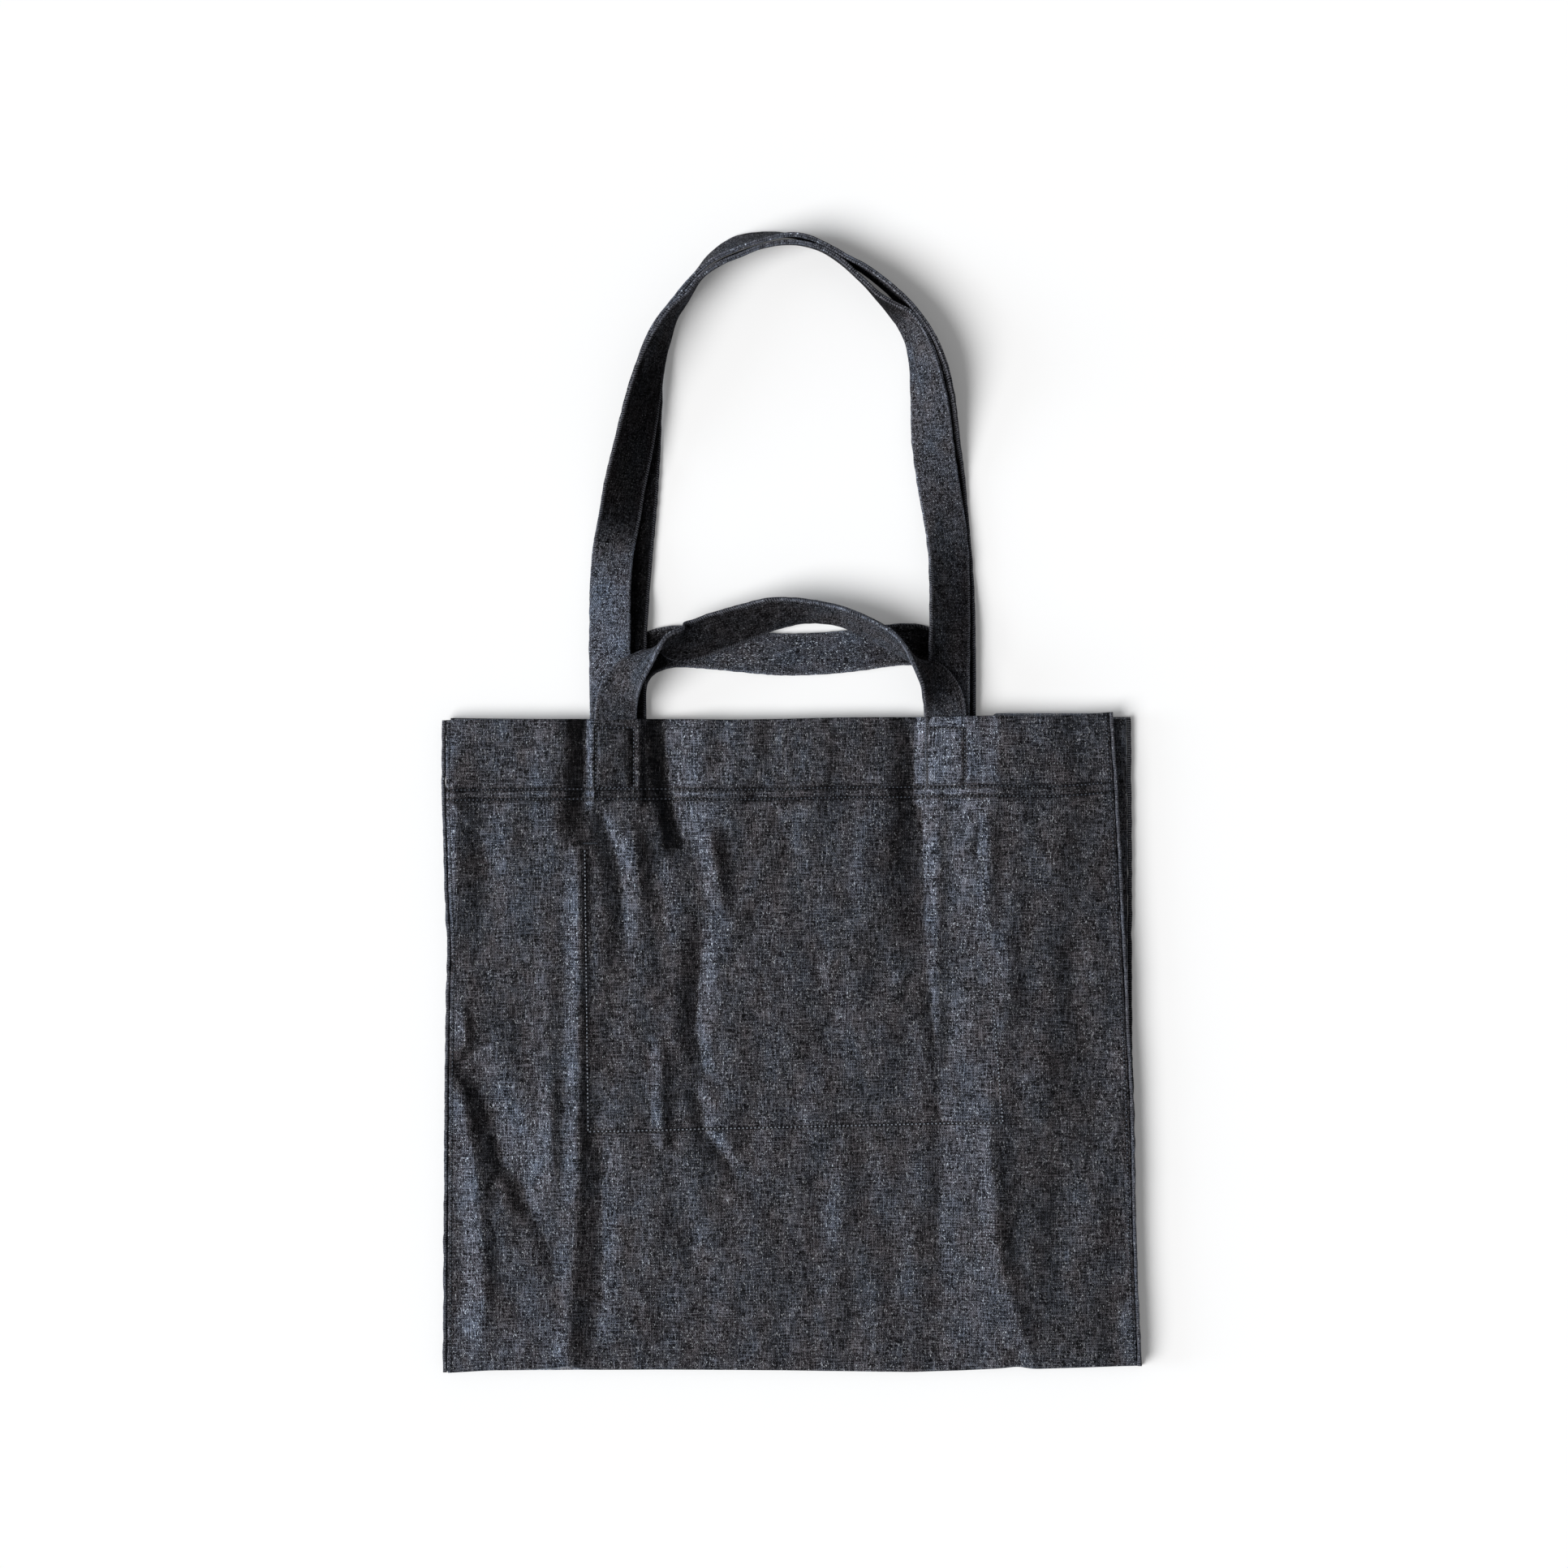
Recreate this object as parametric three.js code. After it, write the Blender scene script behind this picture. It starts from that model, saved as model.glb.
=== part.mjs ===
// Gusseted denim tote bag with two shoulder straps and two hand straps, lying flat on its back.
// Millimetres. +X is the bag's right, +Y runs from the base to the mouth and the straps, +Z is up.
// The origin is the middle of the footprint, on the surface that the bag lies on.

import * as THREE from "three";

// ---------------------------------------------------------------- driving dimensions
const CLOTH = 0.9; // one layer of denim
const GAP = 0.3; // clearance between touching pieces
const THREAD = 0.4; // height of a row of topstitching
const THREAD_WIDTH = 0.9;
const STRAP_WIDTH = 25.4;
const STRAP_THICKNESS = 3; // denim folded in four
const SEAM_WIDTH = 2.4; // pinched allowance of a side seam
const FACING_DEPTH = 48; // turned band round the mouth
const GUSSET_HALF_DEPTH = 76; // each side gusset is two of these, folded inwards
const STRAP_END_LOW = 1.5; // Y where the sewn ends of the straps stop inside the facing
const HINGE_Y = 58; // line just past the mouth where the straps start to swing
const POCKET_HEM_DEPTH = 12;
const HEM_ROWS = { upper: 42, lower: 48 }; // depths of the two rows of topstitching below the mouth

// Outlines of the two faces. The front lies a little to the left of the back, as a soft bag does.
const FRONT = {
  mouthLeft: [-211, 49],
  mouthRight: [193, 53],
  baseRight: [209, -339],
  baseLeft: [-210, -343],
};
const BACK = {
  mouthLeft: [-206, 50],
  mouthRight: [204, 51],
  baseRight: [211, -340],
  baseLeft: [-209, -343],
};
const POCKET = {
  mouthLeft: [-126, -25],
  mouthRight: [114, -23],
  baseRight: [128, -194],
  baseLeft: [-124, -200],
};

// ---------------------------------------------------------------- heights of the layers
const LAYER = CLOTH + GAP;
const STRAP_LAYER = STRAP_THICKNESS + GAP;
const FRONT_FACING_Z = 8;
const FRONT_PANEL_Z = FRONT_FACING_Z + LAYER;
const BACK_FACING_Z = LAYER;
const BACK_HAND_Z = LAYER;
const BACK_SHOULDER_Z = BACK_HAND_Z + STRAP_LAYER;
const BACK_FACING_OVER_STRAPS_Z = BACK_SHOULDER_Z + STRAP_LAYER;
const FRONT_FACING_OVER_STRAPS_Z = BACK_FACING_OVER_STRAPS_Z + CLOTH + 2 * GAP;
const FRONT_SHOULDER_Z = FRONT_FACING_OVER_STRAPS_Z + LAYER;
const FRONT_HAND_Z = FRONT_SHOULDER_Z + STRAP_LAYER;
const FRONT_PANEL_OVER_STRAPS_Z = FRONT_HAND_Z + STRAP_LAYER;

// ---------------------------------------------------------------- strap routes
// Each point is [x, y, underside, roll] of the strap's middle line. Underside is the height of the
// strap's lowest edge. Roll is in degrees: 0 lies flat, 90 stands on its inner edge, and past -90 the
// strap has turned over and shows its underside.
const FRONT_SHOULDER_ROUTE = [
  [-109, HINGE_Y, FRONT_SHOULDER_Z, 0],
  [-109.2, 72, 8.2, 0],
  [-109.5, 90, 7.2, 0],
  [-109.5, 108, 7, 0],
  [-109.3, 130, 4.4, 0],
  [-107.8, 150, 3.6, 0],
  [-104.8, 166, 3.6, 0],
  [-100.9, 189, 4.4, 3],
  [-96.3, 209, 5.8, 14],
  [-92.2, 228, 6.4, 30],
  [-88.3, 247, 6.5, 42],
  [-84.6, 262, 6.1, 53],
  [-79.6, 276.2, 4.6, 64],
  [-72.7, 291.2, 2.8, 75],
  [-63.8, 304.6, 1, 84],
  [-56.5, 315, 0.3, 90],
  [-42, 325, 0.3, 90],
  [-24, 332, 0.3, 90],
  [-5, 335, 0.3, 90],
  [12, 332.6, 0.3, 90],
  [27, 325, 0.3, 93],
  [41, 314.5, 0.3, 98],
  [54, 302.5, 0.3, 94],
  [65.5, 289, 0.3, 74],
  [73, 276.5, 0.8, 56],
  [78.5, 261, 1.8, 42],
  [81.4, 240, 3.4, 26],
  [83.8, 218, 5.3, 9],
  [87.5, 194, 4.6, 0],
  [91.5, 170, 3.6, 0],
  [94, 150, 3.6, 0],
  [94.6, 130, 4.4, 0],
  [94.6, 108, 7, 0],
  [94.3, 90, 7.2, 0],
  [94.1, 72, 8.2, 0],
  [94, HINGE_Y, FRONT_SHOULDER_Z, 0],
];
const BACK_SHOULDER_ROUTE = [
  [-100.5, HINGE_Y, BACK_SHOULDER_Z, 0],
  [-100.5, 84, 3.7, 0],
  [-99.6, 108, 3.6, 0],
  [-98.2, 130, 0.9, 0],
  [-96.6, 150, 0.2, 0],
  [-94.8, 170, 0.2, 0],
  [-93.2, 189, 0.2, 3],
  [-91.8, 209, 0.2, 14],
  [-90, 228, 0.2, 30],
  [-87.3, 247, 0.2, 42],
  [-85.4, 262, 0.2, 53],
  [-83, 275.5, 0.2, 64],
  [-78.2, 290.5, 0.2, 75],
  [-70, 305.5, 0.2, 84],
  [-61, 316.8, 0.2, 90],
  [-48, 328, 0.2, 98],
  [-33, 335.5, 0.2, 102],
  [-17, 339.4, 0.2, 96],
  [0, 341, 0.2, 92],
  [16, 337.3, 0.2, 93],
  [31, 330.4, 0.2, 91],
  [46, 321.7, 0.2, 87],
  [60.5, 310.2, 0.2, 83],
  [71.8, 298, 0.2, 78],
  [80, 284.5, 0.2, 68],
  [85, 268, 0.2, 54],
  [88, 247, 0.2, 38],
  [89.6, 224, 0.2, 19],
  [91.5, 200, 0.2, 4],
  [93.5, 174, 0.2, 0],
  [95.6, 150, 0.2, 0],
  [97, 130, 0.9, 0],
  [97.7, 108, 3.6, 0],
  [98, 84, 3.7, 0],
  [98, HINGE_Y, BACK_SHOULDER_Z, 0],
];
const FRONT_HAND_ROUTE = [
  [-106, HINGE_Y, FRONT_HAND_Z, 0],
  [-105.9, 66, 12.4, -3],
  [-101.8, 75.5, 11.8, -22],
  [-92, 84, 10.6, -46],
  [-81.5, 90.5, 8.2, -76],
  [-72, 94.5, 4.6, -112],
  [-62, 96.5, 3.6, -150],
  [-47, 101, 3.6, -156],
  [-28, 106.5, 3.6, -144],
  [-10, 111.5, 3.6, -134],
  [8, 114, 1.6, -120],
  [26, 112, 1.6, -113],
  [42, 106.5, 3.6, -111],
  [55.5, 99.5, 3.8, -107],
  [66.5, 91.5, 4.6, -93],
  [76, 82, 9.9, -66],
  [85.4, 74.4, 12, -33],
  [91, 66, 12, -6],
  [92, HINGE_Y, FRONT_HAND_Z, 0],
];
const BACK_HAND_ROUTE = [
  [-100.5, HINGE_Y, BACK_HAND_Z, 0],
  [-100.3, 66, 0.4, 0],
  [-97.4, 76, 0.1, 0],
  [-89.8, 85, 0.1, 0],
  [-80, 91, 0.1, 0],
  [-68, 93.5, 0.1, 0],
  [-48, 92.5, 0.1, 0],
  [-26, 90.2, 0.1, 0],
  [-4, 88.8, 0.1, 0],
  [18, 89.4, 0.1, 0],
  [40, 91.6, 0.1, 0],
  [60, 94.4, 0.1, 0],
  [74, 94.6, 0.1, 0],
  [85.6, 90, 0.1, 0],
  [94, 81, 0.1, 0],
  [97.8, 70, 0.2, 0],
  [98, HINGE_Y, BACK_HAND_Z, 0],
];

// ---------------------------------------------------------------- materials
const fabric = (color, roughness = 0.9) =>
  new THREE.MeshStandardMaterial({ color, roughness, metalness: 0 });

const MATERIALS = {
  denim: () => fabric(0x33353b),
  denimInside: () => fabric(0x4a4d55),
  strapDenim: () => fabric(0x3a3d45),
  pocketCloth: () => fabric(0x3c3f47),
  thread: () => fabric(0x24262c, 0.8),
};

// ---------------------------------------------------------------- geometry helpers
// Point of a face outline: u runs from its left edge to its right, v from its mouth to its base.
function facePoint(face, u, v) {
  const mix = (a, b, t) => a + (b - a) * t;
  const at = (i) =>
    mix(mix(face.mouthLeft[i], face.mouthRight[i], u), mix(face.baseLeft[i], face.baseRight[i], u), v);
  return [at(0), at(1)];
}

const faceWidth = (face) => face.mouthRight[0] - face.mouthLeft[0];
const faceHeight = (face) => face.mouthLeft[1] - face.baseLeft[1];
const across = (face, x) => (x - face.mouthLeft[0]) / faceWidth(face);
const down = (face, depth) => depth / faceHeight(face);

// Closed solid between two equal grids of points: rows of a lower skin and of an upper skin.
function solidFromSkins(lower, upper) {
  const rows = lower.length;
  const columns = lower[0].length;
  const positions = [...lower.flat(), ...upper.flat()].flat();
  const index = [];
  const low = (r, c) => r * columns + c;
  const high = (r, c) => rows * columns + low(r, c);
  const quad = (a, b, c, d) => index.push(a, b, c, a, c, d);
  for (let r = 0; r + 1 < rows; r++)
    for (let c = 0; c + 1 < columns; c++) {
      quad(high(r, c), high(r, c + 1), high(r + 1, c + 1), high(r + 1, c));
      quad(low(r, c), low(r + 1, c), low(r + 1, c + 1), low(r, c + 1));
    }
  for (let c = 0; c + 1 < columns; c++) {
    quad(low(0, c), low(0, c + 1), high(0, c + 1), high(0, c));
    quad(low(rows - 1, c + 1), low(rows - 1, c), high(rows - 1, c), high(rows - 1, c + 1));
  }
  for (let r = 0; r + 1 < rows; r++) {
    quad(low(r + 1, 0), low(r, 0), high(r, 0), high(r + 1, 0));
    quad(low(r, columns - 1), low(r + 1, columns - 1), high(r + 1, columns - 1), high(r, columns - 1));
  }
  const geometry = new THREE.BufferGeometry();
  geometry.setAttribute("position", new THREE.Float32BufferAttribute(positions, 3));
  geometry.setIndex(index);
  return geometry;
}

// Sheet of cloth over part of a face. us and vs are its grid lines, and z(u, v) its underside.
function sheet(face, us, vs, z, thickness = CLOTH) {
  const skin = (lift) =>
    [...vs].reverse().map((v) => us.map((u) => [...facePoint(face, u, v), z(u, v) + lift]));
  return solidFromSkins(skin(0), skin(thickness));
}

// Flat strip of the given width from one point to another, with its underside at z.
function strip([x0, y0], [x1, y1], width, z, height) {
  const length = Math.hypot(x1 - x0, y1 - y0);
  const geometry = new THREE.BoxGeometry(length, width, height);
  geometry.rotateZ(Math.atan2(y1 - y0, x1 - x0));
  geometry.translate((x0 + x1) / 2, (y0 + y1) / 2, z + height / 2);
  return geometry;
}

// Flat outline with an optional hole, extruded upwards from z.
function plate(outline, z, height, hole) {
  const shape = new THREE.Shape(outline.map(([x, y]) => new THREE.Vector2(x, y)));
  if (hole) shape.holes.push(new THREE.Path(hole.map(([x, y]) => new THREE.Vector2(x, y))));
  const geometry = new THREE.ExtrudeGeometry(shape, { depth: height, bevelEnabled: false });
  geometry.translate(0, 0, z);
  return geometry;
}

// Half of the height that a strap's section stands at a given roll.
function halfHeight(roll) {
  const angle = THREE.MathUtils.degToRad(roll);
  return (STRAP_WIDTH * Math.abs(Math.sin(angle)) + STRAP_THICKNESS * Math.abs(Math.cos(angle))) / 2;
}

// Strap along a route, with a rectangular section that rolls about the route.
function ribbon(route, segments) {
  const line = new THREE.CatmullRomCurve3(
    route.map(([x, y, underside, roll]) => new THREE.Vector3(x, y, underside + halfHeight(roll))),
    false,
    "catmullrom",
    0.5,
  );
  const rolls = new THREE.CatmullRomCurve3(
    route.map((point) => new THREE.Vector3(point[3], 0, 0)),
    false,
    "catmullrom",
    0.5,
  );
  const up = new THREE.Vector3(0, 0, 1);
  const lower = [];
  const upper = [];
  for (let i = 0; i <= segments; i++) {
    const t = i / segments;
    const middle = line.getPoint(t);
    const tangent = line.getTangent(t);
    if (i === 0 || i === segments) tangent.set(0, Math.sign(tangent.y), 0);
    const outward = new THREE.Vector3().crossVectors(up, tangent).normalize();
    const normal = new THREE.Vector3().crossVectors(tangent, outward).normalize();
    const roll = THREE.MathUtils.degToRad(rolls.getPoint(t).x);
    const side = outward.clone().multiplyScalar(Math.cos(roll)).addScaledVector(normal, Math.sin(roll));
    const face = normal.clone().multiplyScalar(Math.cos(roll)).addScaledVector(outward, -Math.sin(roll));
    const corner = (across, through) =>
      middle
        .clone()
        .addScaledVector(side, (across * STRAP_WIDTH) / 2)
        .addScaledVector(face, (through * STRAP_THICKNESS) / 2)
        .toArray();
    lower.push([corner(1, -1), corner(-1, -1)]);
    upper.push([corner(1, 1), corner(-1, 1)]);
  }
  return solidFromSkins(lower, upper);
}

// ---------------------------------------------------------------- assembly
const bag = new THREE.Group();
bag.name = "denim_tote_bag";

function add(group, name, geometry, material) {
  const mesh = new THREE.Mesh(geometry, MATERIALS[material]());
  mesh.name = name;
  group.add(mesh);
}

// The two straps on each side of a face are sewn in one stack, so the face swells over them.
const ZONE_MARGIN = 1.5;
const ZONE_RAMP = 8;
const SWELL_DEPTH = 54; // how far below the mouth the swelling reaches before it dies away
const strapZone = (routes, end) => {
  const xs = routes.map((route) => route.at(end)[0]);
  const reach = STRAP_WIDTH / 2 + ZONE_MARGIN;
  return [Math.min(...xs) - reach, Math.max(...xs) + reach];
};
const zonesOf = (...routes) => [strapZone(routes, 0), strapZone(routes, -1)];
const FRONT_ZONES = zonesOf(FRONT_SHOULDER_ROUTE, FRONT_HAND_ROUTE, BACK_SHOULDER_ROUTE);
const BACK_ZONES = zonesOf(BACK_SHOULDER_ROUTE, BACK_HAND_ROUTE);

// Height that a layer rises over the strap ends: full over them, nothing away from them.
function swell(face, zones, rise) {
  return (u, v) => {
    const x = face.mouthLeft[0] + u * faceWidth(face);
    const beside = Math.min(...zones.map(([low, high]) => Math.max(low - x, x - high, 0)));
    const below = Math.max(v * faceHeight(face) - SWELL_DEPTH, 0);
    return rise * Math.max(0, 1 - Math.max(beside, below) / ZONE_RAMP);
  };
}

const rampLines = (zones) =>
  zones.flatMap(([low, high]) => [low - ZONE_RAMP, low, high, high + ZONE_RAMP]);
const ordered = (values) => [...values].sort((a, b) => a - b);

function faceGrid(face, zones, inset) {
  const edge = inset / faceWidth(face);
  const us = ordered([edge, ...rampLines(zones).map((x) => across(face, x)), 1 - edge]);
  const vs = [0, down(face, SWELL_DEPTH), down(face, SWELL_DEPTH + ZONE_RAMP), 1];
  return { us, vs };
}

function facingGrid(face, zones, inset) {
  const { us } = faceGrid(face, zones, inset);
  return { us, vs: [0, down(face, FACING_DEPTH - 0.1)] };
}

const INSET = SEAM_WIDTH + GAP;

// Pinched allowance along one side edge of a face, from its mouth to its base.
function sideSeam(face, side, z, height) {
  const inset = SEAM_WIDTH / 2 / faceWidth(face);
  const u = side < 0 ? inset : 1 - inset;
  return strip(facePoint(face, u, 0), facePoint(face, u, 1), SEAM_WIDTH, z, height);
}

// The gusset folds inwards on a crease. It lies half the gusset's width in from the mean side edge.
const CREASES = {
  left: {
    mouth: (FRONT.mouthLeft[0] + BACK.mouthLeft[0]) / 2 + GUSSET_HALF_DEPTH,
    base: (FRONT.baseLeft[0] + BACK.baseLeft[0]) / 2 + GUSSET_HALF_DEPTH,
  },
  right: {
    mouth: (FRONT.mouthRight[0] + BACK.mouthRight[0]) / 2 - GUSSET_HALF_DEPTH,
    base: (FRONT.baseRight[0] + BACK.baseRight[0]) / 2 - GUSSET_HALF_DEPTH,
  },
};

// Point of a crease at a depth v of a face, moved sideways.
function creasePoint(face, side, v, shift = 0) {
  const { mouth, base } = CREASES[side];
  const x = mouth + (base - mouth) * v + shift;
  return [x, facePoint(face, across(face, x), v)[1]];
}

// Level layer of cloth with its left and right ends given at two depths, the deeper one first.
function layer(rows, z) {
  const skin = (height) => rows.map((row) => row.map(([x, y]) => [x, y, height]));
  return solidFromSkins(skin(z), skin(z + CLOTH));
}

// Half of a side gusset, folded inwards from the side edge of the face that it is sewn to.
function gussetHalf(face, side, z, depth = 1) {
  const inset = INSET / faceWidth(face);
  const row = (v) =>
    side === "left"
      ? [facePoint(face, inset, v), creasePoint(face, side, v)]
      : [creasePoint(face, side, v), facePoint(face, 1 - inset, v)];
  return layer([row(depth), row(0)], z);
}

// Half of the base, tucked up between the two faces and between the gusset creases.
function baseHalf(face, z) {
  const row = (v) => [creasePoint(face, "left", v, 2), creasePoint(face, "right", v, -2)];
  return layer([row(1), row(1 - down(face, GUSSET_HALF_DEPTH))], z);
}

function strapEnd(x, z) {
  return strip([x, STRAP_END_LOW], [x, HINGE_Y - GAP], STRAP_WIDTH, z, STRAP_THICKNESS);
}

const SIDES = [
  ["left", -1, 0],
  ["right", 1, -1],
];

// ---------------------------------------------------------------- back of the bag
const back = new THREE.Group();
bag.add(back);
const backPanelGrid = { us: [INSET / faceWidth(BACK), 1 - INSET / faceWidth(BACK)], vs: [0, 1] };
add(back, "back_panel", sheet(BACK, backPanelGrid.us, backPanelGrid.vs, () => 0), "denim");

const backFacingRise = swell(BACK, BACK_ZONES, BACK_FACING_OVER_STRAPS_Z - BACK_FACING_Z);
const backFacingGrid = facingGrid(BACK, BACK_ZONES, INSET);
const backFacingZ = (u, v) => BACK_FACING_Z + backFacingRise(u, v);
const backFacing = sheet(BACK, backFacingGrid.us, backFacingGrid.vs, backFacingZ);
add(back, "back_facing", backFacing, "denimInside");
add(back, "base_back_half", baseHalf(BACK, 2 * LAYER), "denim");
for (const [side, sign, end] of SIDES) {
  add(back, `${side}_gusset_back_half`, gussetHalf(BACK, side, 3 * LAYER), "denim");
  add(
    back,
    `${side}_gusset_back_facing`,
    gussetHalf(BACK, side, 2 * LAYER, down(BACK, FACING_DEPTH)),
    "denimInside",
  );
  add(back, `back_${side}_seam`, sideSeam(BACK, sign, 0, 4 * LAYER - GAP), "denim");
  const shoulderX = BACK_SHOULDER_ROUTE.at(end)[0];
  add(back, `back_shoulder_strap_${side}_end`, strapEnd(shoulderX, BACK_SHOULDER_Z), "strapDenim");
  const handX = BACK_HAND_ROUTE.at(end)[0];
  add(back, `back_hand_strap_${side}_end`, strapEnd(handX, BACK_HAND_Z), "strapDenim");
}

// ---------------------------------------------------------------- front of the bag
const front = new THREE.Group();
bag.add(front);
const panelRise = swell(FRONT, FRONT_ZONES, FRONT_PANEL_OVER_STRAPS_Z - FRONT_PANEL_Z);
const panelGrid = faceGrid(FRONT, FRONT_ZONES, INSET);
const panelZ = (u, v) => FRONT_PANEL_Z + panelRise(u, v);
add(front, "front_panel", sheet(FRONT, panelGrid.us, panelGrid.vs, panelZ), "denim");

const frontFacingRise = swell(FRONT, FRONT_ZONES, FRONT_FACING_OVER_STRAPS_Z - FRONT_FACING_Z);
const frontFacingGrid = facingGrid(FRONT, FRONT_ZONES, INSET);
const frontFacingZ = (u, v) => FRONT_FACING_Z + frontFacingRise(u, v);
const frontFacing = sheet(FRONT, frontFacingGrid.us, frontFacingGrid.vs, frontFacingZ);
add(front, "front_facing", frontFacing, "denimInside");
add(front, "base_front_half", baseHalf(FRONT, FRONT_FACING_Z - LAYER), "denim");

// Patch pocket on the inside of the front panel, with a turned hem along its mouth.
const pocketSplit = down(POCKET, POCKET_HEM_DEPTH);
const pocketGap = GAP / faceHeight(POCKET);
add(
  front,
  "inner_pocket",
  sheet(POCKET, [0, 1], [pocketSplit + pocketGap, 1], () => FRONT_FACING_Z),
  "pocketCloth",
);
add(front, "pocket_hem", sheet(POCKET, [0, 1], [0, pocketSplit], () => FRONT_FACING_Z), "pocketCloth");

const THREAD_Z = FRONT_PANEL_Z + LAYER;
const THREAD_OVER_STRAPS_Z = FRONT_PANEL_OVER_STRAPS_Z + LAYER;
const SEAM_Z = FRONT_FACING_Z - 2 * LAYER;
for (const [side, sign, end] of SIDES) {
  add(front, `${side}_gusset_front_half`, gussetHalf(FRONT, side, SEAM_Z), "denim");
  add(
    front,
    `${side}_gusset_front_facing`,
    gussetHalf(FRONT, side, SEAM_Z + LAYER, down(FRONT, FACING_DEPTH)),
    "denimInside",
  );
  const seamHeight = FRONT_PANEL_Z + CLOTH - SEAM_Z;
  add(front, `front_${side}_seam`, sideSeam(FRONT, sign, SEAM_Z, seamHeight), "denim");

  const shoulderX = FRONT_SHOULDER_ROUTE.at(end)[0];
  add(front, `front_shoulder_strap_${side}_end`, strapEnd(shoulderX, FRONT_SHOULDER_Z), "strapDenim");
  const handX = FRONT_HAND_ROUTE.at(end)[0];
  add(front, `front_hand_strap_${side}_end`, strapEnd(handX, FRONT_HAND_Z), "strapDenim");

  // Edge stitching along the side seam, and the box that holds the two strap ends.
  const u = sign < 0 ? SEAM_WIDTH / 2 / faceWidth(FRONT) : 1 - SEAM_WIDTH / 2 / faceWidth(FRONT);
  add(
    front,
    `${side}_edge_stitching`,
    strip(facePoint(FRONT, u, 0.01), facePoint(FRONT, u, 0.99), THREAD_WIDTH, THREAD_Z, THREAD),
    "thread",
  );
  const rectangle = (halfWidth, low, high) => [
    [handX - halfWidth, low],
    [handX + halfWidth, low],
    [handX + halfWidth, high],
    [handX - halfWidth, high],
  ];
  const boxHalf = STRAP_WIDTH / 2 - 1;
  const mouthY = facePoint(FRONT, across(FRONT, handX), 0)[1];
  const boxLow = mouthY - HEM_ROWS.upper + THREAD_WIDTH + GAP;
  const boxHigh = mouthY - 5;
  add(
    front,
    `${side}_box_stitching`,
    plate(
      rectangle(boxHalf, boxLow, boxHigh),
      THREAD_OVER_STRAPS_Z,
      THREAD,
      rectangle(boxHalf - THREAD_WIDTH, boxLow + THREAD_WIDTH, boxHigh - THREAD_WIDTH),
    ),
    "thread",
  );
}

// Two rows of topstitching hold the facing. They run across below the boxes.
for (const [row, depth] of Object.entries(HEM_ROWS)) {
  const half = THREAD_WIDTH / 2;
  const vs = [down(FRONT, depth - half), down(FRONT, depth + half)];
  add(
    front,
    `hem_stitching_${row}`,
    sheet(FRONT, panelGrid.us, vs, (u, v) => panelZ(u, v) + LAYER, THREAD),
    "thread",
  );
}

// Stitching of the inner pocket shows on the front panel: two sides, the bottom and two bar tacks.
function pocketStitching() {
  const side = THREAD_WIDTH / faceWidth(POCKET);
  const foot = THREAD_WIDTH / faceHeight(POCKET);
  const top = 4 / faceHeight(POCKET);
  const corners = [
    [0, top],
    [0, 1],
    [1, 1],
    [1, top],
    [1 - side, top],
    [1 - side, 1 - foot],
    [side, 1 - foot],
    [side, top],
  ];
  return plate(
    corners.map(([u, v]) => facePoint(POCKET, u, v)),
    THREAD_Z,
    THREAD,
  );
}
add(front, "pocket_stitching", pocketStitching(), "thread");
const TACK_LENGTH = 9;
for (const [side, sign] of SIDES) {
  const [x, y] = facePoint(POCKET, sign < 0 ? 0 : 1, 0);
  const towardsMiddle = x - sign * TACK_LENGTH;
  add(
    front,
    `pocket_${side}_bar_tack`,
    strip([Math.min(x, towardsMiddle), y], [Math.max(x, towardsMiddle), y], 2, THREAD_Z, THREAD),
    "thread",
  );
}

// ---------------------------------------------------------------- straps
const SHOULDER_SEGMENTS = 64;
const HAND_SEGMENTS = 44;
const STRAPS = {
  front_shoulder_strap: [FRONT_SHOULDER_ROUTE, SHOULDER_SEGMENTS],
  back_shoulder_strap: [BACK_SHOULDER_ROUTE, SHOULDER_SEGMENTS],
  front_hand_strap: [FRONT_HAND_ROUTE, HAND_SEGMENTS],
  back_hand_strap: [BACK_HAND_ROUTE, HAND_SEGMENTS],
};
for (const [name, [route, segments]] of Object.entries(STRAPS))
  add(bag, name, ribbon(route, segments), "strapDenim");

export default bag;
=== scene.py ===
# Denim tote bag lying flat on its back, with two shoulder straps and two hand straps.
# Lengths are millimetres until a mesh is made, and Blender's own units are metres.

import math

import bmesh
import bpy
import numpy as np
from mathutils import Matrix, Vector


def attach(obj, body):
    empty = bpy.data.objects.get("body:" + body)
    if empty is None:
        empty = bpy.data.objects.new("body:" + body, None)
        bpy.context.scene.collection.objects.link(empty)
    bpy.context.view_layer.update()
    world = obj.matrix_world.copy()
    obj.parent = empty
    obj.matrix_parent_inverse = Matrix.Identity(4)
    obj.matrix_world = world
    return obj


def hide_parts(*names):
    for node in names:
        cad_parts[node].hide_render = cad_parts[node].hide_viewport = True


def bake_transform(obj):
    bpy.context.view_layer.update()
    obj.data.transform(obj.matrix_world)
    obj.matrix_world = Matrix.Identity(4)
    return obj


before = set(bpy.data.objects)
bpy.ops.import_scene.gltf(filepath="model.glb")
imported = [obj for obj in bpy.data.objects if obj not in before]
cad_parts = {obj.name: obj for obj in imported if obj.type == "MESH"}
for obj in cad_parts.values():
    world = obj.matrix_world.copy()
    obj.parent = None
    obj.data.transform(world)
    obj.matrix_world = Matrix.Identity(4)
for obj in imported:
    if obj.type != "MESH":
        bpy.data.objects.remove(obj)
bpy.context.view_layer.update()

MM = 0.001
TAU = 2 * math.pi

# ---------------------------------------------------------------- dimensions of the bag
CLOTH = 0.9
FACE_HEIGHT = 392
FACING_DEPTH = 48
HEM_DEPTHS = (42, FACING_DEPTH)
GUSSET_HALF_DEPTH = 76
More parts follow.
